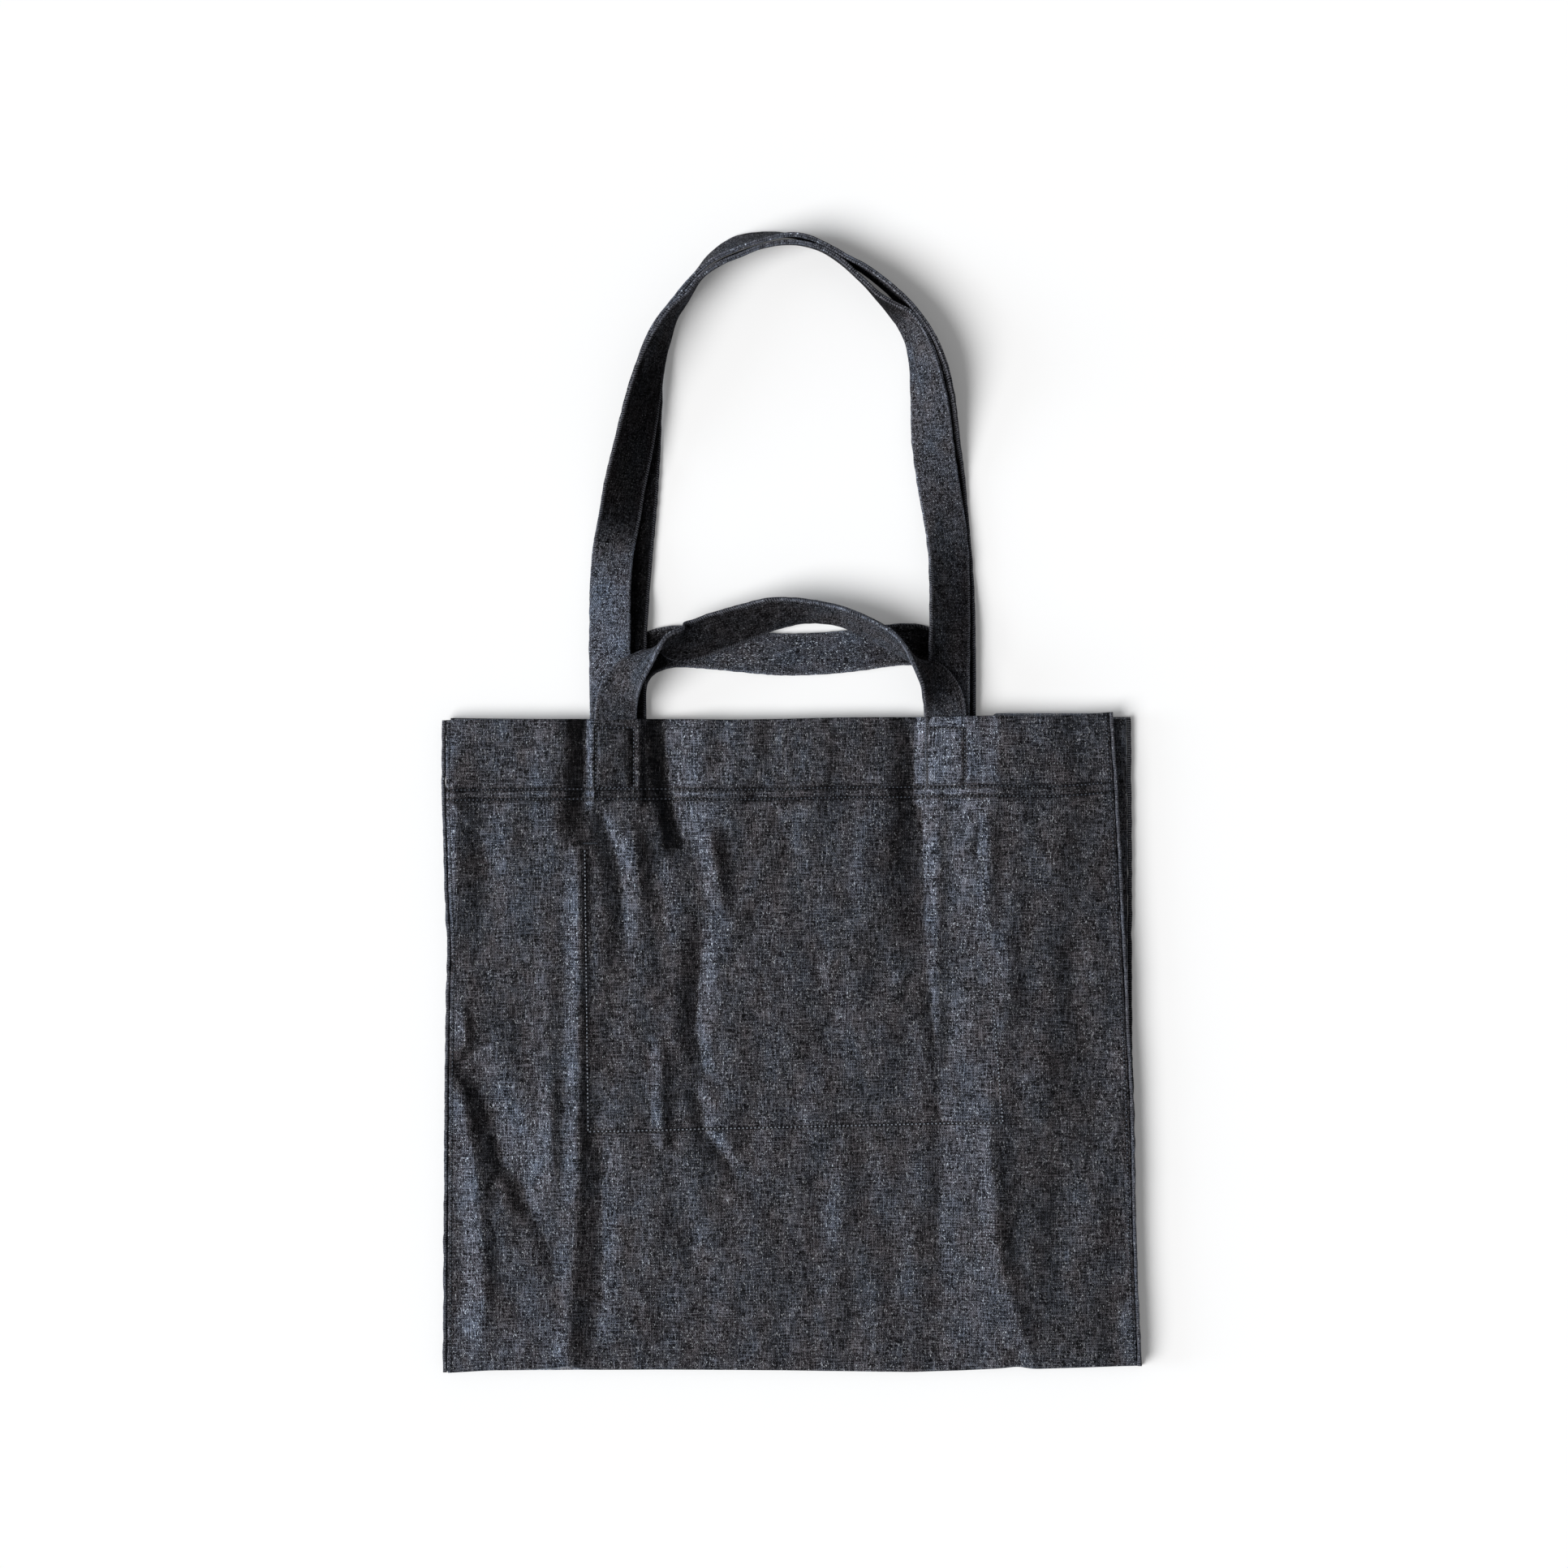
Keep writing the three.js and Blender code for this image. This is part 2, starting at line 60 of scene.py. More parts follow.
# How far the facing of a gusset reaches past the gusset's own crease.
BAND_REACH = 1.3
SEAM_WIDTH = 2.4
SEAM_INSET = 2.7
STRAP_WIDTH = 25.4
STRAP_THICKNESS = 3.0
# Stitching presses the straps thinner up to SEWN_Y, and the hand straps are divided at SPLIT_Y.
SEWN_THICKNESS = 2.2
SEWN_Y = 46.0
SPLIT_Y = 64

# Undersides of the layers, from the floor up. "Over" is where a layer lies on or under the strap ends.
BACK_FACING_Z = 1.2
BACK_HAND_Z = 1.2
BACK_SHOULDER_Z = 3.35
BACK_FACING_OVER_Z = 5.6
GUSSET_BACK_Z = 3.6
GUSSET_FRONT_Z = 5.6
GUSSET_BAND_BACK_Z = 2.4
GUSSET_BAND_FRONT_Z = 6.8
FRONT_FACING_Z = 8.0
FRONT_FACING_OVER_Z = 6.75
FRONT_SHOULDER_Z = 7.85
FRONT_HAND_Z = 10.2
FRONT_PANEL_Z = 9.2
FRONT_PANEL_OVER_Z = 12.6

# Corners of each face: mouth left, mouth right, base right, base left.
FRONT = ((-211, 49), (193, 53), (209, -339), (-210, -343))
BACK = ((-206, 50), (204, 51), (211, -340), (-209, -343))
POCKET = ((-126, -25), (114, -23), (128, -194), (-124, -200))
MOUTH_Y, BASE_Y = 50, -342

# Small wander of each edge from the straight line between its corners, as (place, offset).
FRONT_LEFT_BOW = (
    (49, 0.4), (0, 0.3), (-25, 1.2), (-55, 1.8), (-89, 3.5), (-118, 2.4), (-150, 1.9), (-200, 1.3),
    (-250, 0.8), (-343, 0),
)
FRONT_RIGHT_BOW = (
    (53, -0.3), (-6, 1.0), (-64, 1.6), (-142, 2.3), (-181, 2.6), (-220, 2.0), (-259, 1.0), (-339, 0.8),
)
FRONT_MOUTH_BOW = (
    (-211, 0), (-139, 0), (-76, -0.6), (-37, -1.4), (-8, -1.3), (31, -0.7), (75, -1.0), (116, -0.5),
    (158, -1.4), (177, -0.4), (193, 1.0),
)
FRONT_BASE_BOW = (
    (-210, -0.4), (-183, 1.0), (-159, 1.3), (-141, 2.2), (-134, 3.4), (-127, 1.4), (-118, 0.7), (-76, 0.5),
    (-8, -0.6), (31, -1.5), (72, -2.4), (100, -1.7), (124, -0.6), (135, 0.6), (144, -1.0), (178, -0.4),
    (209, 0.3),
)
BACK_LEFT_BOW = ((50, 0), (-340, 0))
BACK_RIGHT_BOW = (
    (51, 0), (-25, -0.6), (-89, -1.7), (-150, -2.6), (-200, -1.8), (-250, -2.6), (-298, -1.6), (-340, 0),
)
BACK_MOUTH_BOW = ((-206, 0.4), (-100, -0.8), (0, -1.6), (110, 0.2), (160, 0.6), (204, 0))
BACK_BASE_BOW = ((-209, 0), (211, 0))
FRONT_BOWS = (FRONT_LEFT_BOW, FRONT_RIGHT_BOW, FRONT_MOUTH_BOW, FRONT_BASE_BOW)
BACK_BOWS = (BACK_LEFT_BOW, BACK_RIGHT_BOW, BACK_MOUTH_BOW, BACK_BASE_BOW)
NO_BOWS = (((0, 0), (1, 0)),) * 4


def sewn_end(x, under):
    """Start of a strap's middle line, from its cut end to the hem."""
    return [(x, y, under, 0, 0) for y in (1.5, 18, 36)]


# Middle lines of the straps: x, y, underside, roll, painted shading. Roll is in degrees: 0 lies flat, 90
# stands on its inner edge, and past -90 the strap has turned over. The painted shading runs from -1, painted
# shade, to 1, painted light, after how each part faces the lamps.
FRONT_SHOULDER_ROUTE = (
    *sewn_end(-109, FRONT_SHOULDER_Z), (-109, 54, 8, 0, 0.5), (-109.2, 72, 8.2, -2, 0.95),
    (-109.5, 90, 7.2, -6, 0.9), (-109.5, 108, 6.4, -10, 0.95), (-109.3, 130, 4, -11, 0.7),
    (-107.8, 150, 3.4, -8, 0.1), (-104.8, 166, 3.6, 0, -0.8), (-100.9, 189, 4.4, 10, -1.1),
    (-96.3, 209, 5.8, 20, -1.15), (-92.2, 228, 6.4, 30, -1.1), (-88.3, 247, 6.5, 42, -1),
    (-84.6, 262, 6.1, 53, -0.85), (-79.6, 276.2, 4.6, 64, -0.7), (-72.7, 291.2, 2.8, 77, -0.4),
    (-64.4, 302, 1, 87, -0.1), (-54.4, 315.4, 0.3, 95, 0), (-42.4, 323.6, 0.3, 99, 0),
    (-31.4, 328.5, 0.3, 100, 0), (-20.4, 332.6, 0.3, 98, 0), (-5, 335.4, 0.3, 97, -0.2),
    (12, 334, 0.3, 96, -0.3), (27, 326.4, 0.3, 94, -0.5), (42, 313, 0.3, 94, -0.9),
    (52.6, 302.4, 0.3, 90, -1), (61.6, 294.6, 0.3, 78, -0.7), (68.6, 288.6, 0.5, 67, -0.2),
    (75.2, 276.5, 1.2, 60, 0.15), (79.6, 260, 2.4, 48, 0.25), (81.9, 244, 3.4, 34, 0.27),
    (83.4, 228, 4.6, 19, 0.27), (84.8, 213, 5.2, 8, 0.25), (87.5, 194, 4.6, 0, 0.25),
    (91.5, 170, 3.4, -8, 0.05), (94, 150, 3.4, -13, -0.35), (94.6, 130, 4, -14, -0.65),
    (94.6, 108, 6.4, -13, -0.75), (94.3, 90, 7, -9, -0.7), (94.1, 72, 8.2, -3, -0.55), (94, 54, 8, 0, -0.3),
    *sewn_end(94, FRONT_SHOULDER_Z)[::-1],
)
BACK_SHOULDER_ROUTE = (
    *sewn_end(-100.5, BACK_SHOULDER_Z), (-100.5, 58, 3.6, 0, -1.2), (-100.5, 84, 3.7, 0, -1.3),
    (-99.6, 108, 3.6, 0, -1.3), (-98.2, 130, 0.9, 0, -1.3), (-96.6, 150, 0.2, 0, -1.3),
    (-94.8, 170, 0.2, 0, -1.3), (-93.2, 189, 0.2, 3, -1.3), (-91.8, 209, 0.2, 14, -1.3),
    (-90, 228, 0.2, 30, -1.3), (-87.6, 247, 0.2, 44, -1.2), (-85.9, 262, 0.2, 58, -1),
    (-83.2, 275.5, 0.2, 71, -0.7), (-77.8, 288.7, 0.2, 83, -0.1), (-70.3, 299.6, 0.2, 88, -0.1),
    (-62.6, 310.3, 0.2, 92, 0), (-54.5, 320.2, 0.2, 98, 0), (-45, 328.8, 0.2, 107, 0.05),
    (-33, 335.2, 0.2, 113, 0.05), (-17, 339, 0.2, 107, 0), (-2, 340, 0.2, 97, -0.2),
    (10.5, 337.6, 0.2, 93, -0.3), (23.2, 331, 0.2, 91, -0.3), (34.9, 324.4, 0.2, 90, -0.4),
    (46, 317.6, 0.2, 88, -0.5), (59.3, 307.1, 0.2, 86, -0.5), (72.2, 293.3, 0.2, 82, -0.5),
    (81.6, 277, 0.2, 74, -0.6), (86, 260.8, 0.2, 60, -0.9), (87.4, 245.6, 0.2, 42, -1),
    (88, 228.3, 0.2, 25, -1), (89.4, 212, 0.2, 14, -1.1), (91.5, 196, 0.2, 4, -1.2),
    (93.5, 174, 0.2, 0, -1.2), (95.6, 150, 0.2, 0, -1.2), (97, 130, 0.9, 0, -1.2),
    (97.7, 108, 3.6, 0, -1.2), (98, 84, 3.7, 0, -1.2), (98, 58, 3.6, 0, -1.2),
    *sewn_end(98, BACK_SHOULDER_Z)[::-1],
)
FRONT_HAND_ROUTE = (
    *sewn_end(-106, FRONT_HAND_Z), (-105.8, 54, 11.4, 0, -0.1), (-103.9, 65, 12.2, -8, 0.05),
    (-98.8, 74.2, 11.6, -28, 0.1), (-91.8, 82.2, 10, -52, 0.2), (-84.5, 89.5, 7.5, -74, 0.2),
    (-75.5, 95, 5, -111, -0.4), (-66, 95.6, 3.8, -150, -0.7), (-56, 98.4, 3.6, -157, -0.75),
    (-47, 101.7, 3.6, -156, -0.75), (-28, 108, 3.6, -146, -0.75), (-11, 112.8, 3.6, -136, -0.65),
    (8, 114.2, 1.6, -120, -0.4), (26, 112, 1.6, -113, 0), (42, 106, 3.6, -112, 0.1),
    (55.5, 98.8, 3.8, -112, 0.1), (65, 92.2, 4.6, -104, 0), (71.4, 87, 7.4, -92, -0.3),
    (77.4, 81.6, 10, -68, -0.6), (83.8, 74.4, 11.8, -42, -0.7), (88, 67, 12.2, -22, -0.6),
    (90.8, 60, 12, -7, -0.4), (91.8, 52, 11.4, 0, -0.3), *sewn_end(92, FRONT_HAND_Z)[::-1],
)
BACK_HAND_ROUTE = (
    *sewn_end(-100.5, BACK_HAND_Z), (-100.5, 54, 0.9, 0, -0.8), (-100.5, 67, 0.4, 0, -1),
    (-98.2, 77.4, 0.1, 0, -1), (-91, 86.6, 0.1, 0, -1), (-80.4, 91.8, 0.1, 0, -0.9),
    (-68, 93.7, 0.1, 0, -0.1), (-48, 92.5, 0.1, 0, 0.15), (-26, 90.2, 0.1, 0, 0.3), (-4, 88.8, 0.1, 0, 0.3),
    (18, 89.4, 0.1, 0, 0.35), (40, 91.6, 0.1, 0, 0.3), (60, 94.4, 0.1, 0, -0.1), (74, 94.6, 0.1, 0, -0.8),
    (85.6, 90, 0.1, 0, -1.1), (94, 81, 0.1, 0, -1.1), (97.8, 70, 0.2, 0, -1.1), (98, 54, 0.9, 0, -0.8),
    *sewn_end(98, BACK_HAND_Z)[::-1],
)


# ---------------------------------------------------------------- shared shape helpers
def smooth(t):
    """Runs from 0 to 1 with a soft start and end."""
    t = np.clip(t, 0, 1)
    return t * t * (3 - 2 * t)


def bell(away, width):
    """1 on a line, fading to 0 on both sides of it."""
    return np.exp(-((away / width) ** 2))


def fading(away, reach):
    """1 at an edge, fading to 0 away from it."""
    return np.exp(-away / reach)


def blank(x, y):
    return np.zeros(np.broadcast(x, y).shape)


def eased(at, knots, reach=7):
    """Broken line through the knots, with rounded corners."""
    places, values = zip(*sorted(knots))
    shifts = (-1, -0.5, 0, 0.5, 1)
    return sum(np.interp(at + shift * reach, places, values) for shift in shifts) / len(shifts)


def ripples(x, y, seed, wave_x, wave_y, count=26):
    """Smooth random relief with a standard deviation of 1."""
    rng = np.random.default_rng(seed)
    total = blank(x, y)
    for _ in range(count):
        turn = rng.uniform(0, TAU)
        kx, ky = rng.normal() / wave_x, rng.normal() / wave_y
        total = total + np.cos(TAU * (kx * x + ky * y) + turn)
    return total / math.sqrt(count / 2)


def face_xy(face, bows, u, v):
    """Point of a face: u runs from its left edge to its right edge, v from its mouth to its base."""
    (ax, ay), (bx, by), (cx, cy), (dx, dy) = face
    x = (1 - v) * ((1 - u) * ax + u * bx) + v * ((1 - u) * dx + u * cx)
    y = (1 - v) * ((1 - u) * ay + u * by) + v * ((1 - u) * dy + u * cy)
    left, right, mouth, base = bows
    near_mouth, near_base = np.clip(1 - v * 6, 0, 1), np.clip(v * 6 - 5, 0, 1)
    shift_x = (1 - u) * eased(y, left) + u * eased(y, right)
    shift_y = near_mouth * eased(x, mouth, 4) + near_base * eased(x, base, 3)
    return x + shift_x, y + shift_y


def base_rise(face, x):
    """How much higher on the page the base edge of a face lies at x than at its left corner."""
    (right_x, right_y), (left_x, left_y) = face[2:]
    return (x - left_x) * (right_y - left_y) / (right_x - left_x)


# ---------------------------------------------------------------- relief of the front of the bag
# Folds are (line, height, left flank, right flank). A line holds (x, y, share of the height) points from
# the mouth down, and a negative height makes a valley. All heights are scaled by FOLD_GAIN.
FOLD_GAIN = 0.98
FOLD_CRISPNESS = 0.35
FRONT_FOLDS = (
    # Left side.
    (((-204, 30, 0.3), (-204, 0, 0.8), (-203, -20, 1), (-203, -50, 0.9), (-204, -80, 0.4),
      (-205, -120, 0)), 3.2, 7, 19),
    (((-206, 2, 0), (-199, -5, 1), (-188, -14, 0.9), (-177, -25, 0)), 1.0, 6, 6),
    (((-199, -118, 0), (-196, -130, 1), (-195, -144, 1), (-199, -156, 0)), 1.4, 7, 4),
    (((-199, -160, 0), (-195, -185, 0.9), (-190, -215, 1), (-187, -260, 1), (-186, -300, 0.9),
      (-188, -330, 0.2)), 1.9, 10, 9),
    (((-204, -150, 0), (-200, -156, 0.7), (-188, -177, 0.8), (-179, -200, 1), (-172, -219, 0.9),
      (-160, -240, 0.5), (-148, -262, 0.3), (-137, -300, 0.25), (-133, -330, 0)), -3.2, 9, 30),
    (((-178, -196, 0), (-176, -212, 1), (-176, -228, 0.8), (-180, -250, 0)), -1.3, 8, 8),
    (((-143, -160, 0), (-144, -172, 1), (-144, -205, 1), (-142, -235, 0)), 1.3, 9, 6),
    (((-180, -252, 0), (-176, -275, 1), (-172, -310, 0)), -0.7, 12, 12),
    # Crease of the left gusset.
    (((-127, -18, 0), (-126.5, -34, 1), (-126.5, -110, 0.9), (-126.5, -190, 0.9), (-128, -240, 0.4),
      (-131, -300, 0.4), (-132.5, -341, 1)), 1.7, 10, 4),
    (((-118, -180, 0), (-115, -215, 1), (-114, -290, 1), (-118, -335, 0)), -1.5, 13, 14),
    # Beside and below the left strap ends.
    (((-123.4, 53, 1), (-123.4, 10, 1), (-124, 0, 0.5), (-125, -7, 0)), -1.9, 14, 3),
    (((-80.5, 53, 0.8), (-80, 25, 1), (-76, 0, 1), (-71, -18, 0.9), (-69, -34, 0)), -4.6, 8, 30),
    (((-118, -3, 0), (-112, -14, 0.8), (-104.5, -34, 1), (-101.5, -54, 0.8), (-101, -76, 0.5),
      (-102, -100, 0)), -2.7, 13, 7),
    (((-97, -10, 0), (-95, -24, 1), (-92, -44, 0.8), (-91, -70, 0)), 1.5, 9, 9),
    (((-84, -20, 0), (-80, -40, 1), (-78, -70, 0.8), (-79, -100, 0)), -0.9, 12, 12),
    (((-52, -10, 0), (-49, -24, 1), (-44, -48, 1), (-40, -76, 0)), 2.3, 10, 10),
    (((-25, -52, 0), (-33, -72, 1), (-45, -99, 0)), 0.8, 8, 8),
    (((-56, -62, 0), (-55, -85, 0.8), (-56, -112, 1), (-57, -138, 1), (-53, -156, 0.6),
      (-48, -172, 0)), -2.7, 13, 10),
    (((-53, -120, 0), (-53.5, -134, 1), (-50, -150, 1), (-49, -166, 0)), 1.0, 5, 6),
    (((-80, -140, 0), (-78.5, -158, 1), (-78, -195, 1), (-77, -212, 0)), 1.6, 6, 6),
    (((-58, -164, 0), (-56, -180, 1), (-52, -198, 0.9), (-40, -214, 0.9), (-31, -228, 0)), -1.7, 8, 7),
    (((-63, -236, 0), (-61, -262, 1), (-62, -300, 0)), -1.3, 17, 15),
    (((-72, -256, 0), (-69, -270, 1), (-65, -292, 0)), 0.8, 6, 9),
    # Middle.
    (((44, -4, 0), (43, -30, 1), (41, -62, 0)), 0.7, 9, 9),
    (((26, -78, 0), (24, -100, 1), (21, -128, 0)), 0.8, 8, 8),
    (((-21, 50, 0.8), (-21, 25, 1), (-22, 5, 0)), 0.7, 9, 9),
    # Inside the lit band on the right.
    (((76, 53, 0.9), (78, 20, 1), (79, -30, 0.9), (80, -72, 0.3), (84, -100, 0)), -3.2, 22, 8),
    (((88, 4, 0), (87, -20, 1), (86, -90, 1), (87, -135, 0)), 1.0, 7, 9),
    (((118, 2, 0), (118, -20, 1), (117, -60, 1), (119, -90, 0)), 1.3, 6, 9),
    (((110, -16, 0), (112, -25, 1), (110, -34, 0)), -1.2, 5, 5),
    (((97, -112, 0), (96, -135, 1), (93, -175, 0)), -1.0, 8, 9),
    (((83, -90, 0), (84, -128, 1), (86, -160, 0)), -0.9, 7, 5),
    (((92, -155, 0), (95, -172, 1), (98, -200, 0)), 1.0, 7, 8),
    (((124, -60, 0), (131, -100, 1), (128, -135, 0)), 0.8, 8, 10),
    (((118, -170, 0), (119, -215, 1), (123, -265, 0.8), (136, -312, 0.7), (145, -339, 0.7)), 1.2, 9, 12),
    (((136, -322, 0), (137, -341, 1)), -1.2, 6, 6),
    (((158, -215, 0), (158, -250, 1), (160, -290, 0)), -1.4, 18, 22),
    (((176, -120, 0), (177, -150, 1), (175, -185, 0)), -0.7, 15, 15),
)
BACK_FOLDS = (
    (((-120, 20, 0), (-124, -60, 1), (-118, -180, 1), (-125, -300, 0)), 0.8, 14, 10),
    (((-40, -30, 0), (-30, -120, 1), (-44, -230, 0)), 0.7, 12, 12),
    (((60, 0, 0), (72, -90, 1), (64, -210, 1), (80, -310, 0)), 0.7, 12, 16),
    (((150, -40, 0), (140, -150, 1), (152, -260, 0)), 0.6, 12, 12),
)

# The band right of the middle that rises towards the light, as (y, x) points of its two edges.
LIT_BAND_FOOT = ((50, 77), (6, 80), (-71, 81), (-137, 85), (-185, 87), (-340, 88))
LIT_BAND_CREST = (
    (50, 116), (-8, 121), (-65, 126), (-99, 133), (-140, 128), (-185, 119), (-271, 122), (-340, 146),
)
LIT_BAND_HEIGHT = 4.6

# Left and right edge of each pair of front strap ends, and the width of the slope on its right.
STRAP_ZONES = ((-119.6, -92.0, 4.5), (78.5, 106.5, 14.0))
BACK_STRAP_ZONES = ((-114.5, -86.5), (84, 112))
# Left and right row of the box stitching of each pair of strap ends, and its lower and upper row.
BOXES = {"left": (-117.8, -95.0), "right": (80.8, 103.6)}
BACK_BOXES = ((-112.3, -89.0), (86.4, 109.6))
BOX_LOW, BOX_HIGH = 8.6, 44.5
# Depth and width of the grooves that stitching pulls into the front.
BOX_SIDE_GROOVE, BOX_END_GROOVE, HEM_GROOVE = (0.75, 1.1), (0.45, 1.0), (0.3, 0.9)


def fold(x, y, line, height, left, right):
    """Raised fold along a line, with the widths of its two flanks."""
    best = np.full(x.shape, 1e9)
    side = np.zeros(x.shape)
    share = np.zeros(x.shape)
    for (ax, ay, ah), (bx, by, bh) in zip(line, line[1:]):
        length = math.hypot(bx - ax, by - ay)
        ux, uy = (bx - ax) / length, (by - ay) / length
        along = (x - ax) * ux + (y - ay) * uy
        kept = np.clip(along, 0, length)
        away = np.hypot(x - ax - kept * ux, y - ay - kept * uy)
        sign = np.sign(-(x - ax) * uy + (y - ay) * ux)
        nearer = away < best
        best = np.where(nearer, away, best)
        side = np.where(nearer, sign, side)
        share = np.where(nearer, ah + (bh - ah) * kept / length, share)
    # The lines run down the page, so a positive sign is the right-hand flank.
    t = np.clip(1 - best / np.where(side > 0, right, left), 0, 1)
    profile = (1 - FOLD_CRISPNESS) * t * t * (3 - 2 * t) + FOLD_CRISPNESS * t**1.5
    return FOLD_GAIN * height * share * profile


def lit_band(x, y):
    """Slope that rises from its foot to its crest and stays up right of it."""
    low, high = eased(y, LIT_BAND_FOOT), eased(y, LIT_BAND_CREST)
    t = (x - low) / (high - low)
    return LIT_BAND_HEIGHT * (0.45 * np.clip(t, 0, 1) + 0.55 * smooth(t))


def strap_swell(x, y):
    """1 over the sewn strap ends, 0 beside and below them."""
    total = blank(x, y)
    for low, high, slope in STRAP_ZONES:
        total = total + smooth(1 - np.maximum(low - x, 0) / 3.4) * smooth(1 - np.maximum(x - high, 0) / slope)
    return total * smooth((y + 4.5) / 6.5)


def groove(away, depth, width):
    return -depth * bell(away, width)


def box_grooves(x, y):
    """Line pulled down by the stitching round each pair of strap ends."""
    z = blank(x, y)
    for low, high in BOXES.values():
        beside = np.minimum(np.abs(x - low), np.abs(x - high))
        tall = smooth((y - BOX_LOW + 1) / 2) * smooth((BOX_HIGH + 1 - y) / 2)
        wide = smooth((x - low + 1) / 2) * smooth((high + 1 - x) / 2)
        across = np.minimum(np.abs(y - BOX_LOW), np.abs(y - BOX_HIGH))
        z = z + groove(beside, *BOX_SIDE_GROOVE) * tall + groove(across, *BOX_END_GROOVE) * wide
    return z


def drape(x, y):
    """Folds and undulations of the front panel, apart from the swelling over the straps."""
    # The folded gussets lift both sides, the middle lies lower, and the far right slopes down again.
    z = 1.1 * (1 - smooth((x + 138) / 20)) + lit_band(x, y) - 2.4 * smooth((x - 134) / 66)
    for entry in FRONT_FOLDS:
        z = z + fold(x, y, *entry)
    # Overall unevenness of cloth that has been folded and smoothed by hand.
    for amount, *waves in ((0.2, 11, 40, 90), (0.045, 12, 14, 26), (0.015, 13, 6, 7)):
        z = z + amount * ripples(x, y, *waves)
    # The cloth of the sides rests on the gussets, so it can't sink there, least where their facings are.
    on_gusset = (x < -130) | (x > 118)
    lowest = np.where(on_gusset, np.where(y > -4, -0.7, -2.0), -5.0)
    z = np.where(z < lowest, lowest + 0.12 * (z - lowest), z)
    # The relief fades towards the base fold.
    return z * (0.35 + 0.65 * smooth((y + 345) / 26))


def draped(x, y, plain, over):
    """Height of a layer of the front that lies at one height, and at another one over the strap ends."""
    swell = strap_swell(x, y)
    return plain + (over - plain) * swell + drape(x, y) * (1 - 0.45 * swell)


def hem_rows_at(x):
    """Y of the two rows of stitching that hold the facing of the front."""
    (left_x, left_y), (right_x, right_y) = FRONT[:2]
    mouth = left_y + (x - left_x) / (right_x - left_x) * (right_y - left_y) + eased(x, FRONT_MOUTH_BOW, 4)
    return [mouth - depth for depth in HEM_DEPTHS]


def front_under(x, y):
    """Height of the underside of the front panel."""
    grooves = box_grooves(x, y) + sum(groove(y - row, *HEM_GROOVE) for row in hem_rows_at(x))
    return draped(x, y, FRONT_PANEL_Z, FRONT_PANEL_OVER_Z) + grooves


def front_top(x, y):
    return front_under(x, y) + CLOTH


def back_relief(x, y):
    """Small folds of the back panel and what lies on it. They stay off the floor."""
    z = 0.25 + 0.22 * ripples(x, y, 21, 40, 80) + 0.08 * ripples(x, y, 22, 12, 18)
    for entry in BACK_FOLDS:
        z = z + fold(x, y, *entry)
    return np.clip(z, 0.02, 0.95)


# ---------------------------------------------------------------- meshes
def mesh_piece(name, points, faces, materials, cloth, edge=None, wear_and_painted_shading=None, inner=None):
    """Closed mesh with its place on the flat cloth, its distance from a folded edge, and per point its
    painted light and shade, with real edge wear on the straps.

    inner gives the index of the material per face."""
    mesh = bpy.data.meshes.new(name)
    mesh.from_pydata((np.asarray(points) * MM).tolist(), [], faces)
    for material in materials:
        mesh.materials.append(material)
    if inner is not None:
        mesh.polygons.foreach_set("material_index", np.asarray(inner, dtype=np.int32))
    mesh.polygons.foreach_set("use_smooth", np.ones(len(mesh.polygons), dtype=bool))
    layer = mesh.attributes.new("cloth", "FLOAT_VECTOR", "POINT")
    layer.data.foreach_set("vector", np.asarray(cloth, dtype=np.float32).ravel())
    for label, values, plain in (("edge", edge, 99.0), ("wear_and_painted_shading", wear_and_painted_shading, 0.0)):
        values = np.full(len(mesh.vertices), plain) if values is None else values
        layer = mesh.attributes.new(label, "FLOAT", "POINT")
        layer.data.foreach_set("value", np.asarray(values, dtype=np.float32).ravel())
    build = bmesh.new()
    build.from_mesh(mesh)
    bmesh.ops.recalc_face_normals(build, faces=build.faces)
    build.to_mesh(mesh)
    build.free()
    mesh.update()
    piece = bpy.data.objects.new(name, mesh)
    bpy.context.collection.objects.link(piece)
    return piece


def surface_normals(grid):
    """Unit normals of a grid. They point up where the first index runs right and the second down."""
    normal = np.cross(np.gradient(grid, axis=1), np.gradient(grid, axis=0))
    return normal / np.maximum(np.linalg.norm(normal, axis=2, keepdims=True), 1e-9)


# Patches of painted light and painted shade on the front, beyond what its relief gives: amount, left and
# right edge as (y, x) points, low and high end, and the softness of the sides and of the ends.
PAINTED_LIGHT_PATCHES = (
    (0.5, ((52, 67), (25, 72), (2, 79)), ((52, 124), (2, 124)), -1, 60, 2.5, 4),
    (0.45, ((52, 107), (2, 107)), ((52, 121), (2, 121)), -4, 60, 4, 6),
    (-0.45, ((52, -118), (0, -118)), ((52, -93), (0, -93)), 3, 60, 2, 3),
    (-0.5, ((52, -134), (0, -134)), ((52, -124), (0, -124)), -4, 60, 7, 16),
    (-0.55, ((0, -139), (-24, -138)), ((0, -126), (-24, -127)), -24, 0, 7, 14),
    (-0.45, ((-20, -90), (-40, -88)), ((-20, -60), (-40, -57)), -38, -20, 10, 14),
    (0.75, ((-200, -200), (-335, -200)), ((-200, -186), (-335, -182)), -336, -214, 9, 40),
    (0.4, ((-200, -168), (-270, -150), (-340, -180)), ((-200, -140), (-340, -136)), -340, -190, 12, 30),
    (0.5, ((-30, -138), (-230, -139)), ((-30, -127), (-230, -128)), -235, -40, 4, 40),
    (0.22, ((52, -206), (-100, -206)), ((52, -141), (-100, -146)), -110, 60, 8, 40),
    (-0.15, ((52, 50), (-90, 58)), ((52, 66), (-10, 76), (-90, 80)), -170, 60, 12, 40),
    (-1.3, ((52, -86.5), (10, -84), (-22, -76)), ((52, -78), (10, -74.5), (-22, -66)), -26, 60, 4, 10),
    (-0.2, ((0, 78), (-340, 88)), ((0, 124), (-340, 142)), -345, -70, 10, 50),
)


